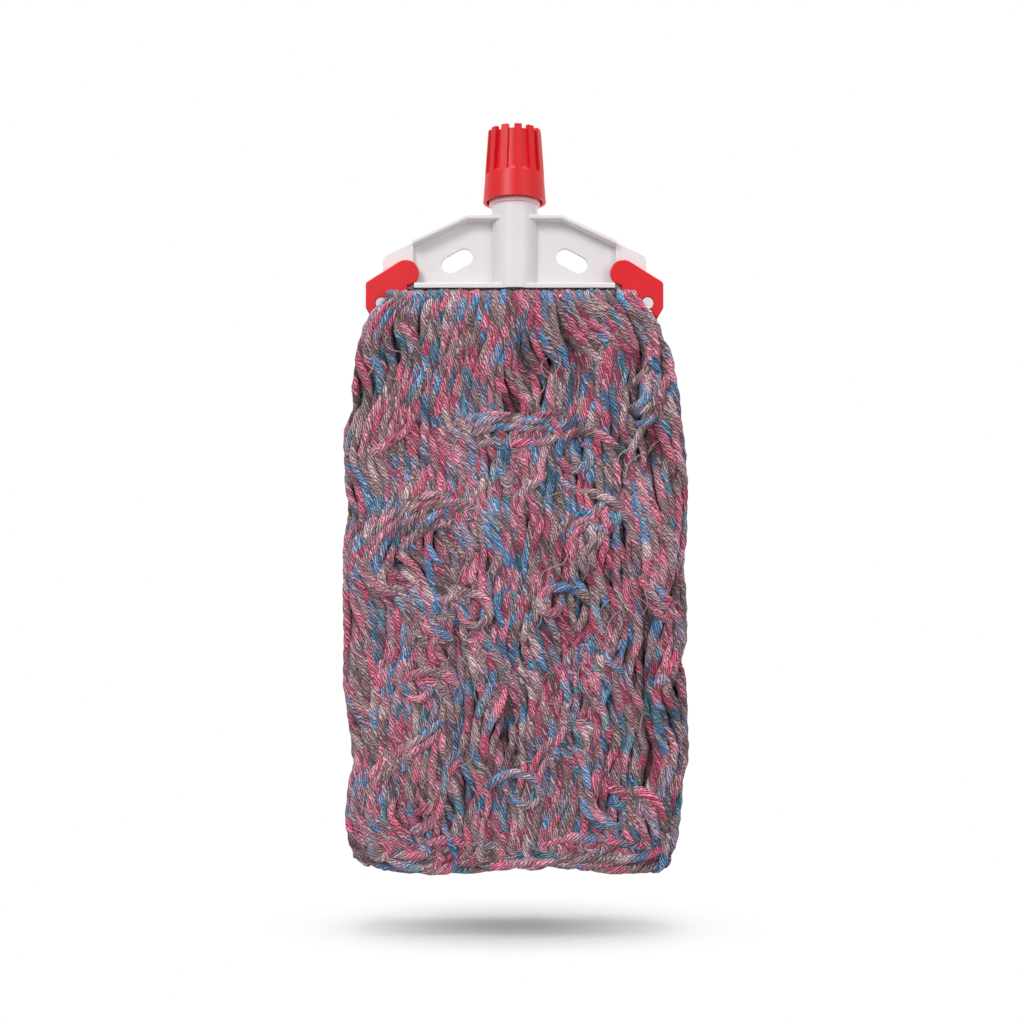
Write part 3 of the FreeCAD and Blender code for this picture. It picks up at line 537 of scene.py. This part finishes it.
# painted light and shade: thread crests lighter, the valleys between threads darker
painted_thread_shade = add_node(tree, "MapRange", {"To Min": 0.12, "To Max": 1.56})
tree.links.new(group.outputs["Ridge"], painted_thread_shade.inputs["Value"])
thread_light = add_node(tree, "MapRange", {"To Min": 0.5, "To Max": 1.6})
tree.links.new(group.outputs["Shine"], thread_light.inputs["Value"])
patch_light = add_node(tree, "MapRange", {"To Min": 0.66, "To Max": 1.34})
tree.links.new(group.outputs["Depth"], patch_light.inputs["Value"])
under = tree.nodes.new("ShaderNodeAttribute")
under.attribute_name = "under"
# painted shade: the deeper a point lies in the yarn, by "under", the darker; lighter at its face
painted_depth_shade = add_node(tree, "MapRange", {"From Min": -0.5, "From Max": 5.5, "To Min": 1.24,
                                     "To Max": 0.38})
tree.links.new(under.outputs["Fac"], painted_depth_shade.inputs["Value"])
slow_tone = add_node(tree, "TexNoise", {"Scale": 30.0, "Detail": 1.0})
yarn_place = add_node(tree, "TexCoord")
tree.links.new(yarn_place.outputs["Object"], slow_tone.inputs["Vector"])
tone = add_node(tree, "MapRange", {"From Min": 0.3, "From Max": 0.7, "To Min": 0.88, "To Max": 1.12})
tree.links.new(slow_tone.outputs["Fac"], tone.inputs["Value"])
yarn_height = add_node(tree, "SeparateXYZ")
tree.links.new(yarn_place.outputs["Object"], yarn_height.inputs[0])
# painted shade: the yarn darker near the ledge, toning down the top lamp's light there
painted_ledge_shade = add_node(tree, "MapRange", {"From Min": ledge_z - 0.12, "From Max": ledge_z - 0.03,
                                         "To Min": 1.0, "To Max": 0.76})
tree.links.new(yarn_height.outputs["Z"], painted_ledge_shade.inputs["Value"])
level = product(tree, [part.outputs["Result"] for part in (
    light, thread_light, patch_light, painted_depth_shade, tone, painted_ledge_shade, painted_thread_shade)])
lit = add_node(tree, "VectorMath", {}, "SCALE")
tree.links.new(dyed.outputs["Result"], lit.inputs[0])
tree.links.new(level, lit.inputs["Scale"])
# painted highlight: where the brightness, part random thread tone and part painted light, is high, the
# colour goes pale
painted_highlight_share = add_node(tree, "MapRange", {"From Min": 0.8, "From Max": 3.4, "To Max": 0.6})
tree.links.new(level, painted_highlight_share.inputs["Value"])
highlighted = tree.nodes.new("ShaderNodeMix")
highlighted.data_type = "RGBA"
highlighted.inputs["B"].default_value = PALE_HIGHLIGHT
tree.links.new(painted_highlight_share.outputs["Result"], highlighted.inputs["Factor"])
tree.links.new(lit.outputs[0], highlighted.inputs["A"])
stray = tree.nodes.new("ShaderNodeAttribute")
stray.attribute_name = "stray"
last_mix = tree.nodes.new("ShaderNodeMix")
last_mix.data_type = "RGBA"
last_mix.inputs["B"].default_value = STRAY_PALE
tree.links.new(stray.outputs["Fac"], last_mix.inputs["Factor"])
tree.links.new(highlighted.outputs["Result"], last_mix.inputs["A"])
tree.links.new(last_mix.outputs["Result"], shader.inputs["Base Color"])
height = add_node(tree, "Math", {1: 0.25}, "MULTIPLY_ADD")
tree.links.new(group.outputs["Fibre"], height.inputs[0])
tree.links.new(group.outputs["Ridge"], height.inputs[2])
bump = add_node(tree, "Bump", {"Strength": 1.0, "Distance": 0.0007})
tree.links.new(height.outputs[0], bump.inputs["Height"])
tree.links.new(bump.outputs["Normal"], shader.inputs["Normal"])
shader.inputs["Roughness"].default_value = 0.82
shader.inputs["Sheen Weight"].default_value = 0.22
shader.inputs["Sheen Roughness"].default_value = 0.5
shader.inputs["Specular IOR Level"].default_value = 0.25
print("yarn finish with", len(DYES), "dyes")

# %% [markdown]
# The outline of the yarn, in millimetres: drop below the ledge, left edge, right edge. The
# strands are laid inside it, so that the mop bulges and narrows where the real one does. The
# edges were measured as if they lay in the pole's plane. They lie nearer to the camera, so
# they are drawn in about the middle of the view by that share.

# %% Outline of the yarn
EDGE_NEARNESS = 0.017
EDGES = np.array([
    (0.0, -80.0, 76.0), (9.0, -89.0, 86.0), (17.0, -97.0, 93.0), (25.0, -101.6, 98.0),
    (40.0, -106.6, 105.5), (57.0, -109.0, 108.8), (95.0, -114.8, 114.0), (112.0, -115.0, 116.0),
    (170.0, -115.0, 116.5), (260.0, -115.0, 116.2), (317.0, -110.0, 117.0), (352.0, -115.0, 112.0),
    (372.0, -111.0, 109.0), (388.0, -104.0, 106.0)])
drawn_in = 1 - EDGE_NEARNESS / CAMERA_DISTANCE
EDGES[:, 1:] *= drawn_in
EDGES[:, 0] = VIEW_CENTRE_DROP / MM * (1 - drawn_in) + EDGES[:, 0] * drawn_in
print("widest", round((EDGES[:, 2] - EDGES[:, 1]).max(), 1), "mm")

# %% [markdown]
# How deep the yarn is. The frame's hanks already have its fullness, with broad grooves and
# swells. Rays from the middle of the mop outwards find their faces once, on a grid, and the
# strands are then laid to that depth. Asking the mesh for every strand would take far longer.

# %% Depth of the yarn
hank_surfaces = {}
for word in ("front", "back"):
    vertices, polygons = [], []
    for number in range(1, 7):
        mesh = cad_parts["%s_hank_%d" % (word, number)].data
        base = len(vertices)
        vertices += [v.co.copy() for v in mesh.vertices]
        polygons += [[base + k for k in p.vertices] for p in mesh.polygons]
    hank_surfaces[word] = BVHTree.FromPolygons(vertices, polygons)

MAP_STEP = 3.0
map_x = np.arange(-117.0, 117.1, MAP_STEP)
map_drop = np.arange(0.0, 393.1, MAP_STEP)


def depth_map(word):
    """Depth of the hanks' face over the curtain, in millimetres, seen from outside."""
    face = -1 if word == "front" else 1
    depths = np.zeros((len(map_drop), len(map_x)))
    for row, drop in enumerate(map_drop):
        for column, x in enumerate(map_x):
            start = Vector((x * MM, face * 0.2, ledge_z - drop * MM))
            hit = hank_surfaces[word].ray_cast(start, Vector((0, -face, 0)))[0]
            depths[row, column] = face * hit.y / MM if hit else np.nan
    for row in depths:
        known = np.flatnonzero(~np.isnan(row))
        if len(known):
            row[:] = np.interp(np.arange(len(row)), known, row[known])
    full_rows = np.flatnonzero(~np.isnan(depths[:, 0]))
    for column in depths.T:
        column[:] = np.interp(np.arange(len(column)), full_rows, column[full_rows])
    return depths


def look_up(depths, x, drop):
    """Depth of the face at many places at once, read between the map's points."""
    column = np.clip((x - map_x[0]) / MAP_STEP, 0, len(map_x) - 1.001)
    row = np.clip((drop - map_drop[0]) / MAP_STEP, 0, len(map_drop) - 1.001)
    c, r = column.astype(int), row.astype(int)
    fc, fr = column - c, row - r
    upper = depths[r, c] * (1 - fc) + depths[r, c + 1] * fc
    lower = depths[r + 1, c] * (1 - fc) + depths[r + 1, c + 1] * fc
    return upper * (1 - fr) + lower * fr


print("depth grid", len(map_drop), "by", len(map_x))

# %% [markdown]
# How the strands lie. A curtain is five strands deep and forty-one wide. Laying them straight
# would look like a bead curtain, so they are grown downwards a few millimetres at a time: at
# each level every strand drifts with a slow swirl that its neighbours share, and with a
# wander of its own, and then strands that are too near push each other apart. That keeps
# them packed and still lets them weave over and under one another.

# %% Growing a curtain
STRAND_RADIUS = 3.15
LEVEL_STEP = 2.6
COLUMNS = 41
ROWS = 5
NOMINAL_HALF = 112.5
FULL_DEPTH = 25.0
TOP_DROP = 9.0
LAST_DROP = 371.0
SETTLING = 40.0
SWIRL = 0.13
WANDER = 0.27
SINK = 0.24
CLOSENESS = 0.80
PUSHES = 7
PUSH_SHARE = 0.3


def to_edge(across, drop):
    """Scale a place in the even block to the yarn's own outline at that drop."""
    left = np.interp(drop, EDGES[:, 0], -EDGES[:, 1]) - STRAND_RADIUS
    right = np.interp(drop, EDGES[:, 0], EDGES[:, 2]) - STRAND_RADIUS
    return np.where(across < 0, across * left, across * right) / NOMINAL_HALF


def waves(rng, count, shortest, longest, shape):
    """Random wave numbers and phases for a slow drift."""
    length = rng.uniform(shortest, longest, (count,) + shape)
    return 2 * math.pi / length, rng.uniform(0, 2 * math.pi, (count,) + shape)


def grow_curtain(seed):
    """Places of all strands of one curtain, level by level: drops, across and depth."""
    rng = np.random.default_rng(seed)
    drops = np.arange(TOP_DROP, LAST_DROP + LEVEL_STEP, LEVEL_STEP)
    spread = np.linspace(-NOMINAL_HALF, NOMINAL_HALF, COLUMNS)
    front_row = FULL_DEPTH - STRAND_RADIUS
    layers = np.linspace(front_row, STRAND_RADIUS, ROWS)
    across = np.concatenate([spread + 3.0 * (row % 2) for row in range(ROWS)])
    depth = np.repeat(layers, COLUMNS)
    strands = across.size
    swirl_z, swirl_phase = waves(rng, 7, 70.0, 190.0, ())
    swirl_x, _ = waves(rng, 7, 50.0, 160.0, ())
    wander_k, wander_phase = waves(rng, 3, 22.0, 80.0, (strands,))
    sink_k, sink_phase = waves(rng, 3, 26.0, 90.0, (strands,))
    nearest = 2 * STRAND_RADIUS * CLOSENESS
    kept_across = []
    kept_depth = []
    for drop in drops:
        ease = min(1.0, drop / SETTLING)
        swirl = sum(np.sin(kz * drop + kx * across + phase)
                    for kz, kx, phase in zip(swirl_z, swirl_x, swirl_phase))
        wander = np.sin(wander_k * drop + wander_phase).sum(0)
        sink = np.sin(sink_k * drop + sink_phase).sum(0)
        across = across + LEVEL_STEP * ease * (SWIRL * swirl + WANDER * wander)
        depth = depth + LEVEL_STEP * ease * SINK * sink
        for _ in range(PUSHES):
            gap_x = across[:, None] - across[None, :]
            gap_y = depth[:, None] - depth[None, :]
            gap = np.sqrt(gap_x ** 2 + gap_y ** 2) + 1e-6
            push = np.clip(nearest - gap, 0, None) / gap * PUSH_SHARE
            np.fill_diagonal(push, 0)
            across = across + (push * gap_x).sum(1)
            depth = depth + (push * gap_y).sum(1)
            depth = np.clip(depth, STRAND_RADIUS, front_row)
            across = np.clip(across, -NOMINAL_HALF, NOMINAL_HALF)
        kept_across.append(across)
        kept_depth.append(depth)
    smooth = np.array([1, 2, 3, 2, 1]) / 9
    pad_by = len(smooth) // 2

    def along(values):
        values = np.array(values)
        padded = np.concatenate([values[:1]] * pad_by + [values] + [values[-1:]] * pad_by)
        return sum(w * padded[i:i + len(values)] for i, w in enumerate(smooth))

    return drops, along(kept_across), along(kept_depth)


print(COLUMNS * ROWS, "strands in each curtain")

# %% [markdown]
# At the top each strand comes out from under the ledge, from over the bar, and at the bottom
# the strands are loops: each one turns sideways, runs a little way along the lower edge and
# goes up again as another strand.


# %% Strand ends and loops
LOOP_REACH = 40


def top_bend(across, depth, rng):
    """Points from the fold over the bar to a strand's first level, top first."""
    start_depth = min(8.0, depth * 0.5)
    lift = STRAND_RADIUS + 0.6 + max(0.0, 15.0 - depth) * 0.35
    turns = np.linspace(0, math.pi / 2, 6)[:-1]
    reach = depth - start_depth
    fall = TOP_DROP - lift
    lean = rng.uniform(-1.5, 1.5)
    return [(across + lean * (1 - math.sin(t)), start_depth + reach * math.sin(t),
             lift + fall * (1 - math.cos(t))) for t in turns]


def loop_bend(first, last, rng):
    """Flat-bottomed turn from one strand's last point to another's."""
    fall = rng.uniform(3.0, 12.0)
    steps = max(9, int(abs(last[0] - first[0]) / 2.6))
    turn = np.linspace(0, math.pi, steps + 2)[1:-1]
    side = np.sign(np.cos(turn)) * np.abs(np.cos(turn)) ** 0.75
    share = (1 - side) / 2
    x = first[0] + (last[0] - first[0]) * share
    y = first[1] + (last[1] - first[1]) * share + rng.uniform(-1.0, 1.5) * np.sin(turn)
    z = first[2] + (last[2] - first[2]) * share + fall * np.abs(np.sin(turn)) ** 0.8
    return list(zip(x, y, z))


def curtain_paths(seed, depths):
    """Every loop of one curtain as points (across, depth, drop) in millimetres."""
    rng = np.random.default_rng(seed + 50)
    drops, across, depth = grow_curtain(seed)
    strands = []
    for index in range(across.shape[1]):
        x = to_edge(across[:, index], drops)
        reach = look_up(depths, x, drops) - STRAND_RADIUS
        lie = STRAND_RADIUS + (depth[:, index] - STRAND_RADIUS) * (
            reach - STRAND_RADIUS) / (FULL_DEPTH - 2 * STRAND_RADIUS)
        top = top_bend(x[0], lie[0], rng)
        body = list(zip(x, lie, drops))
        end = len(body) - int(rng.integers(0, 4))
        strands.append(top + body[:end])
    order = sorted(range(len(strands)), key=lambda k: strands[k][-1][0] + rng.uniform(-9, 9))
    paths = []
    while len(order) > 1:
        first = order.pop(0)
        down = strands[first]
        nearby = order[:LOOP_REACH][int(rng.integers(0, 14)):] or order[:1]
        second = min(nearby, key=lambda k: abs(strands[k][-1][1] - down[-1][1]) + rng.uniform(0, 3))
        order.remove(second)
        up = strands[second]
        paths.append(np.array(down + loop_bend(down[-1], up[-1], rng) + up[::-1]))
    return paths


# %% [markdown]
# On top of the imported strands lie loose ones: locks of one to five strands side by side that
# slipped out of line and cross the others, a few small curls, and strands that run along the
# lower edge like a hem. Each one starts and ends inside the bundle, because a cut end in
# sight would look like a stump. Thin pale threads that came loose lie over all of them.


# %% Loose locks, curls and hem
LOCK_GROUPS = 56
LOCK_SPACING = 5.3
LOWEST_LOCK = 379.0
SHORTEST_PATH = 6
STRAYS = 90
STRAY_RADIUS = 0.36
PATH_STEP = 2.4
SHORTEST_MOVE = 0.8
HEM_STRANDS = 13


def smooth_ends(count, share=0.16):
    """1 along the middle of a path and easing to 0 at both ends."""
    place = np.linspace(0, 1, count)
    ease = np.clip(np.minimum(place, 1 - place) / share, 0, 1)
    return ease * ease * (3 - 2 * ease)


def bend_shape(rng):
    """How many waves a lock has, and where the first one starts."""
    return rng.uniform(0.7, 1.5), rng.uniform(0, 2 * math.pi)


def lock(rng, centre, length, heading, bend, shape, depths, lift):
    """Strand that lies across the others; heading is measured from straight down."""
    steps = int(length / PATH_STEP)
    place = np.linspace(-0.5, 0.5, steps)
    waves_in_lock, phase = shape
    angle = heading + bend * np.sin(2 * math.pi * place * waves_in_lock + phase)
    x = np.cumsum(np.sin(angle)) * PATH_STEP
    z = np.cumsum(np.cos(angle)) * PATH_STEP
    x += centre[0] - x.mean()
    z += centre[1] - z.mean()
    limit = np.interp(z, EDGES[:, 0], EDGES[:, 2]) - 5.0
    kept = (np.abs(x) < limit) & (z < LOWEST_LOCK + 7.0)
    x, z, place = x[kept], np.clip(z[kept], 8.0, LOWEST_LOCK), place[kept]
    ease = smooth_ends(len(x), 14.0 / length + 0.08)
    depth = look_up(depths, x, z) + lift - 9.0 * (1 - ease)
    depth = depth + 0.8 * np.sin(place * 19 + rng.uniform(0, 6))
    path = np.column_stack([x, np.maximum(depth, STRAND_RADIUS), z])
    moved = np.linalg.norm(np.diff(path, axis=0), axis=1) > SHORTEST_MOVE
    return path[np.concatenate([[True], moved])]


def curl(rng, centre, largest, turns, tail, hand, depths, lift):
    """Spiral that unwinds into a tail."""
    angle = np.linspace(0, turns * 2 * math.pi, int(turns * 22))
    radius = 0.62 * largest + 0.38 * largest * angle / angle[-1]
    x = centre[0] + hand * radius * np.sin(angle)
    z = centre[1] - radius * np.cos(angle)
    step_x, step_z = x[-1] - x[-2], z[-1] - z[-2]
    size = math.hypot(step_x, step_z)
    heading = math.atan2(step_x, step_z)
    run = []
    for count in range(int(tail / PATH_STEP)):
        heading *= 0.93
        run.append((math.sin(heading) * PATH_STEP, math.cos(heading) * PATH_STEP))
    run = np.cumsum(np.array(run), axis=0) + (x[-1], z[-1])
    x = np.concatenate([x, run[:, 0]])
    z = np.concatenate([z, run[:, 1]])
    ease = smooth_ends(len(x), 0.2)
    return np.column_stack([x, look_up(depths, x, z) + lift - 7.0 * (1 - ease), z])


def loose_paths(seed, curls, depths):
    """Locks, curls and the hem of one curtain."""
    rng = np.random.default_rng(seed)
    paths = []
    for count in range(LOCK_GROUPS):
        centre = (rng.uniform(-100, 100), rng.uniform(26, 352))
        heading = rng.choice([-1, 1]) * 1.05 * rng.uniform(0.05, 1.0) ** 2
        length = rng.uniform(45, 110)
        bend = rng.uniform(0.2, 0.75)
        shape = bend_shape(rng)
        for side in range(int(rng.integers(1, 6))):
            beside = side * LOCK_SPACING
            down = rng.uniform(-9, 9)
            place = (centre[0] + beside * math.cos(heading) + down * math.sin(heading),
                     centre[1] - beside * math.sin(heading) + down * math.cos(heading))
            if abs(place[0]) > 106:
                continue
            paths.append(lock(rng, place, length * rng.uniform(0.75, 1.1), heading, bend, shape,
                              depths, rng.uniform(-2.6, -1.3)))
    for x, drop, largest, hand in curls:
        paths.append(curl(rng, (x, drop), largest, 0.95, 42.0, hand, depths, -0.4))
    for count in range(HEM_STRANDS):
        centre = (rng.uniform(-88, 88), rng.uniform(360, 378))
        heading = rng.choice([-1, 1]) * math.pi / 2 + rng.uniform(-0.12, 0.12)
        paths.append(lock(rng, centre, rng.uniform(60, 110), heading, 0.22, bend_shape(rng),
                          depths, -rng.uniform(1.0, 5.0)))
    return [path for path in paths if len(path) >= SHORTEST_PATH]


def stray_paths(seed, depths):
    """Single pale threads that have come loose and lie over the rest."""
    rng = np.random.default_rng(seed)
    paths = []
    for count in range(STRAYS):
        centre = (rng.uniform(-104, 104), rng.uniform(24, 362))
        heading = rng.choice([-1, 1]) * 0.9 * rng.uniform(0.05, 1.0) ** 2
        paths.append(lock(rng, centre, rng.uniform(18, 60), heading, rng.uniform(0.3, 1.0),
                          bend_shape(rng), depths, rng.uniform(0.5, 1.6)))
    return [path for path in paths if len(path) >= SHORTEST_PATH]


# Places of the plain curls: across, drop, largest radius, hand.
FRONT_CURLS = [(40.5, 110.0, 13.0, 1), (-26.5, 213.0, 11.0, -1), (23.7, 207.0, 8.5, 1),
               (-62.0, 262.0, 9.0, 1), (6.0, 330.0, 10.0, -1)]
BACK_CURLS = [(-35.0, 120.0, 12.0, -1), (52.0, 240.0, 10.0, 1), (-8.0, 300.0, 9.0, 1)]

# %% [markdown]
# A path becomes a tube of ten sides. The rings are turned to face along the path, and the
# strand's own UV map is written with them, so the twist and the dye follow every bend. Adding
# each strand with an operator or as a bevelled curve would be slower and would give no such
# map, so all tubes of a hank are computed at once and put into one mesh. Two attributes go
# with it for the yarn's finish: "under" is how deep a point lies in the yarn, which the finish
# turns into painted shade, and "stray" is 1 on the loose pale threads.


# %% Tubes
SIDES = 10


def tube_arrays(path, number, radius, rng):
    """Vertices, faces and UVs of one closed tube; the path is in metres."""
    step = np.gradient(path, axis=0)
    forward = step / np.linalg.norm(step, axis=1, keepdims=True)
    side = np.cross(forward, (0.0, 1.0, 0.0))
    side /= np.linalg.norm(side, axis=1, keepdims=True) + 1e-9
    third = np.cross(side, forward)
    length = np.concatenate([[0], np.cumsum(np.linalg.norm(np.diff(path, axis=0), axis=1))])
    swell = 1 + 0.07 * np.sin(length / 0.011 + rng.uniform(0, 6)) \
        + 0.05 * np.sin(length / 0.0047 + rng.uniform(0, 6))
    girth = radius * swell
    girth[[0, -1]] *= 0.35
    girth[[1, -2]] *= 0.8
    turn = np.linspace(0, 2 * math.pi, SIDES, endpoint=False)
    lobes = 1 + 0.10 * np.cos(3 * (turn[None, :] + 2 * math.pi * length[:, None] / LAY))
    flat = turn[None, :] + (1.2 * np.sin(length / 0.023 + rng.uniform(0, 6)))[:, None]
    lobes = lobes * (1 + 0.13 * np.cos(2 * flat))
    ring = (np.cos(turn)[None, :, None] * side[:, None, :]
            + np.sin(turn)[None, :, None] * third[:, None, :])
    points = (path[:, None, :] + (girth[:, None] * lobes)[:, :, None] * ring).reshape(-1, 3)
    rows = np.arange(len(path) - 1)[:, None] * SIDES
    here = np.arange(SIDES)[None, :]
    following = (here + 1) % SIDES
    quads = np.stack([rows + here, rows + following, rows + SIDES + following,
                      rows + SIDES + here], axis=-1).reshape(-1, 4)
    u0 = np.broadcast_to(here / SIDES, (len(path) - 1, SIDES))
    u1 = u0 + 1 / SIDES
    v = number + 0.002 + length
    v0 = np.broadcast_to(v[:-1, None], u0.shape)
    v1 = np.broadcast_to(v[1:, None], u0.shape)
    uvs = np.stack([np.stack([u0, v0], -1), np.stack([u1, v0], -1), np.stack([u1, v1], -1),
                    np.stack([u0, v1], -1)], axis=2).reshape(-1, 2)
    return points, quads, uvs


def depth_under(points, depths):
    """How far places lie inside the yarn, in millimetres, from its face, sides or foot."""
    x = points[:, 0] / MM
    drop = (ledge_z - points[:, 2]) / MM
    left = x - np.interp(drop, EDGES[:, 0], EDGES[:, 1])
    right = np.interp(drop, EDGES[:, 0], EDGES[:, 2]) - x
    face = look_up(depths, x, drop) - np.abs(points[:, 1]) / MM
    return np.minimum.reduce([left, right, face, LAST_DROP + 10.0 - drop])


def yarn_mesh(name, paths, first_number, rng, radius, depths=None, strays=()):
    """One object that holds many strands; every path is in metres in the row's frame."""
    points, loops, totals, uvs = [], [], [], []
    base = 0
    loose = []
    for count, path in enumerate(list(paths) + list(strays)):
        is_stray = count >= len(paths)
        thickness = STRAY_RADIUS * MM if is_stray else radius
        tube, quads, tube_uvs = tube_arrays(path, first_number + count, thickness, rng)
        loose.append(np.full(len(tube), float(is_stray)))
        cap = np.arange(SIDES)
        last = len(tube) - SIDES
        points.append(tube)
        loops += [quads.reshape(-1) + base, cap[::-1] + base, cap + last + base]
        totals += [np.full(len(quads), 4), [SIDES, SIDES]]
        uvs += [tube_uvs, np.full((2 * SIDES, 2), first_number + count + 0.001)]
        base += len(tube)
    points = np.concatenate(points)
    loops = np.concatenate(loops)
    totals = np.concatenate(totals)
    mesh = bpy.data.meshes.new(name)
    mesh.vertices.add(len(points))
    mesh.vertices.foreach_set("co", points.astype(np.float32).reshape(-1))
    mesh.loops.add(len(loops))
    mesh.loops.foreach_set("vertex_index", loops.astype(np.int32))
    mesh.polygons.add(len(totals))
    starts = np.concatenate([[0], np.cumsum(totals)[:-1]])
    mesh.polygons.foreach_set("loop_start", starts.astype(np.int32))
    mesh.update(calc_edges=True)
    uv_layer = mesh.uv_layers.new(name="strand")
    uv_layer.data.foreach_set("uv", np.concatenate(uvs).astype(np.float32).reshape(-1))
    # depth in the yarn, which the yarn's finish turns into painted shade
    under = depth_under(points, depths) if depths is not None else np.full(len(points), 1.0)
    for label, values in (("under", under), ("stray", np.concatenate(loose))):
        layer = mesh.attributes.new(label, "FLOAT", "POINT")
        layer.data.foreach_set("value", values.astype(np.float32))
    mesh.shade_smooth()
    mesh.validate()
    piece = bpy.data.objects.new(name, mesh)
    bpy.context.collection.objects.link(piece)
    mesh.materials.append(yarn)
    return piece


def to_row_frame(path, face):
    """Turn (across, depth, drop) in millimetres into metres; face is -1 in front, 1 behind."""
    return np.column_stack([path[:, 0] * MM, face * path[:, 1] * MM, ledge_z - path[:, 2] * MM])


# %% [markdown]
# The strands are shared out over six hanks for each curtain, by where they hang, and each
# hank stands for its slab.

# %% Hanks
HANKS = 6
next_number = 1
for face, word, body, seed, curls in ((-1, "front", "front_yarn", 11, FRONT_CURLS),
                                      (1, "back", "back_yarn", 23, BACK_CURLS)):
    depths = depth_map(word)
    every = curtain_paths(seed, depths) + loose_paths(seed + 7, curls, depths)
    rng = np.random.default_rng(seed + 90)
    ranked = sorted(every, key=lambda path: path[:, 0].mean())
    shares = np.array_split(np.arange(len(ranked)), HANKS)
    strays = sorted(stray_paths(seed + 31, depths), key=lambda path: path[:, 0].mean())
    stray_shares = np.array_split(np.arange(len(strays)), HANKS)
    triangles = 0
    for index, share in enumerate(shares):
        paths = [to_row_frame(ranked[k], face) for k in share]
        thin = [to_row_frame(strays[k], face) for k in stray_shares[index]]
        piece = yarn_mesh("%s_yarn_%d" % (word, index + 1), paths, next_number, rng,
                          STRAND_RADIUS * MM, depths, thin)
        next_number += len(paths) + len(thin)
        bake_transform(piece)
        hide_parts("%s_hank_%d" % (word, index + 1))
        triangles += len(piece.data.polygons) * 2
    print(word, "strands", len(every), "triangles", triangles)

# %% [markdown]
# The fold: the same yarn where it goes over the bar, drawn in under it by the seam. It never
# swings, so it rides on the frame, and it shows at the two ends, between the clips' forks.

# %% Fold over the bar
FOLD_HALF = 66.0
fold_rng = np.random.default_rng(5)
fold_paths = []
for across in np.linspace(-FOLD_HALF, FOLD_HALF, 24):
    turn = np.linspace(0, math.pi, 17)
    depth = -11.0 * np.cos(turn)
    drop = 14.0 - 9.8 * np.sin(turn) ** 0.8
    legs = np.linspace(24.0, 15.0, 4)
    x = across + fold_rng.uniform(-1.2, 1.2) + 0.8 * np.sin(turn * 2 + fold_rng.uniform(0, 6))
    path = np.concatenate([
        np.column_stack([np.full(4, x[0]), np.full(4, -8.6), legs]),
        np.column_stack([x, depth, drop]),
        np.column_stack([np.full(4, x[-1]), np.full(4, 8.6), legs[::-1]])])
    fold_paths.append(to_row_frame(path, 1))
fold = yarn_mesh("yarn_over_bar", fold_paths, next_number, fold_rng, 3.0 * MM)
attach(fold, "frame")
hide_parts("yarn_fold")
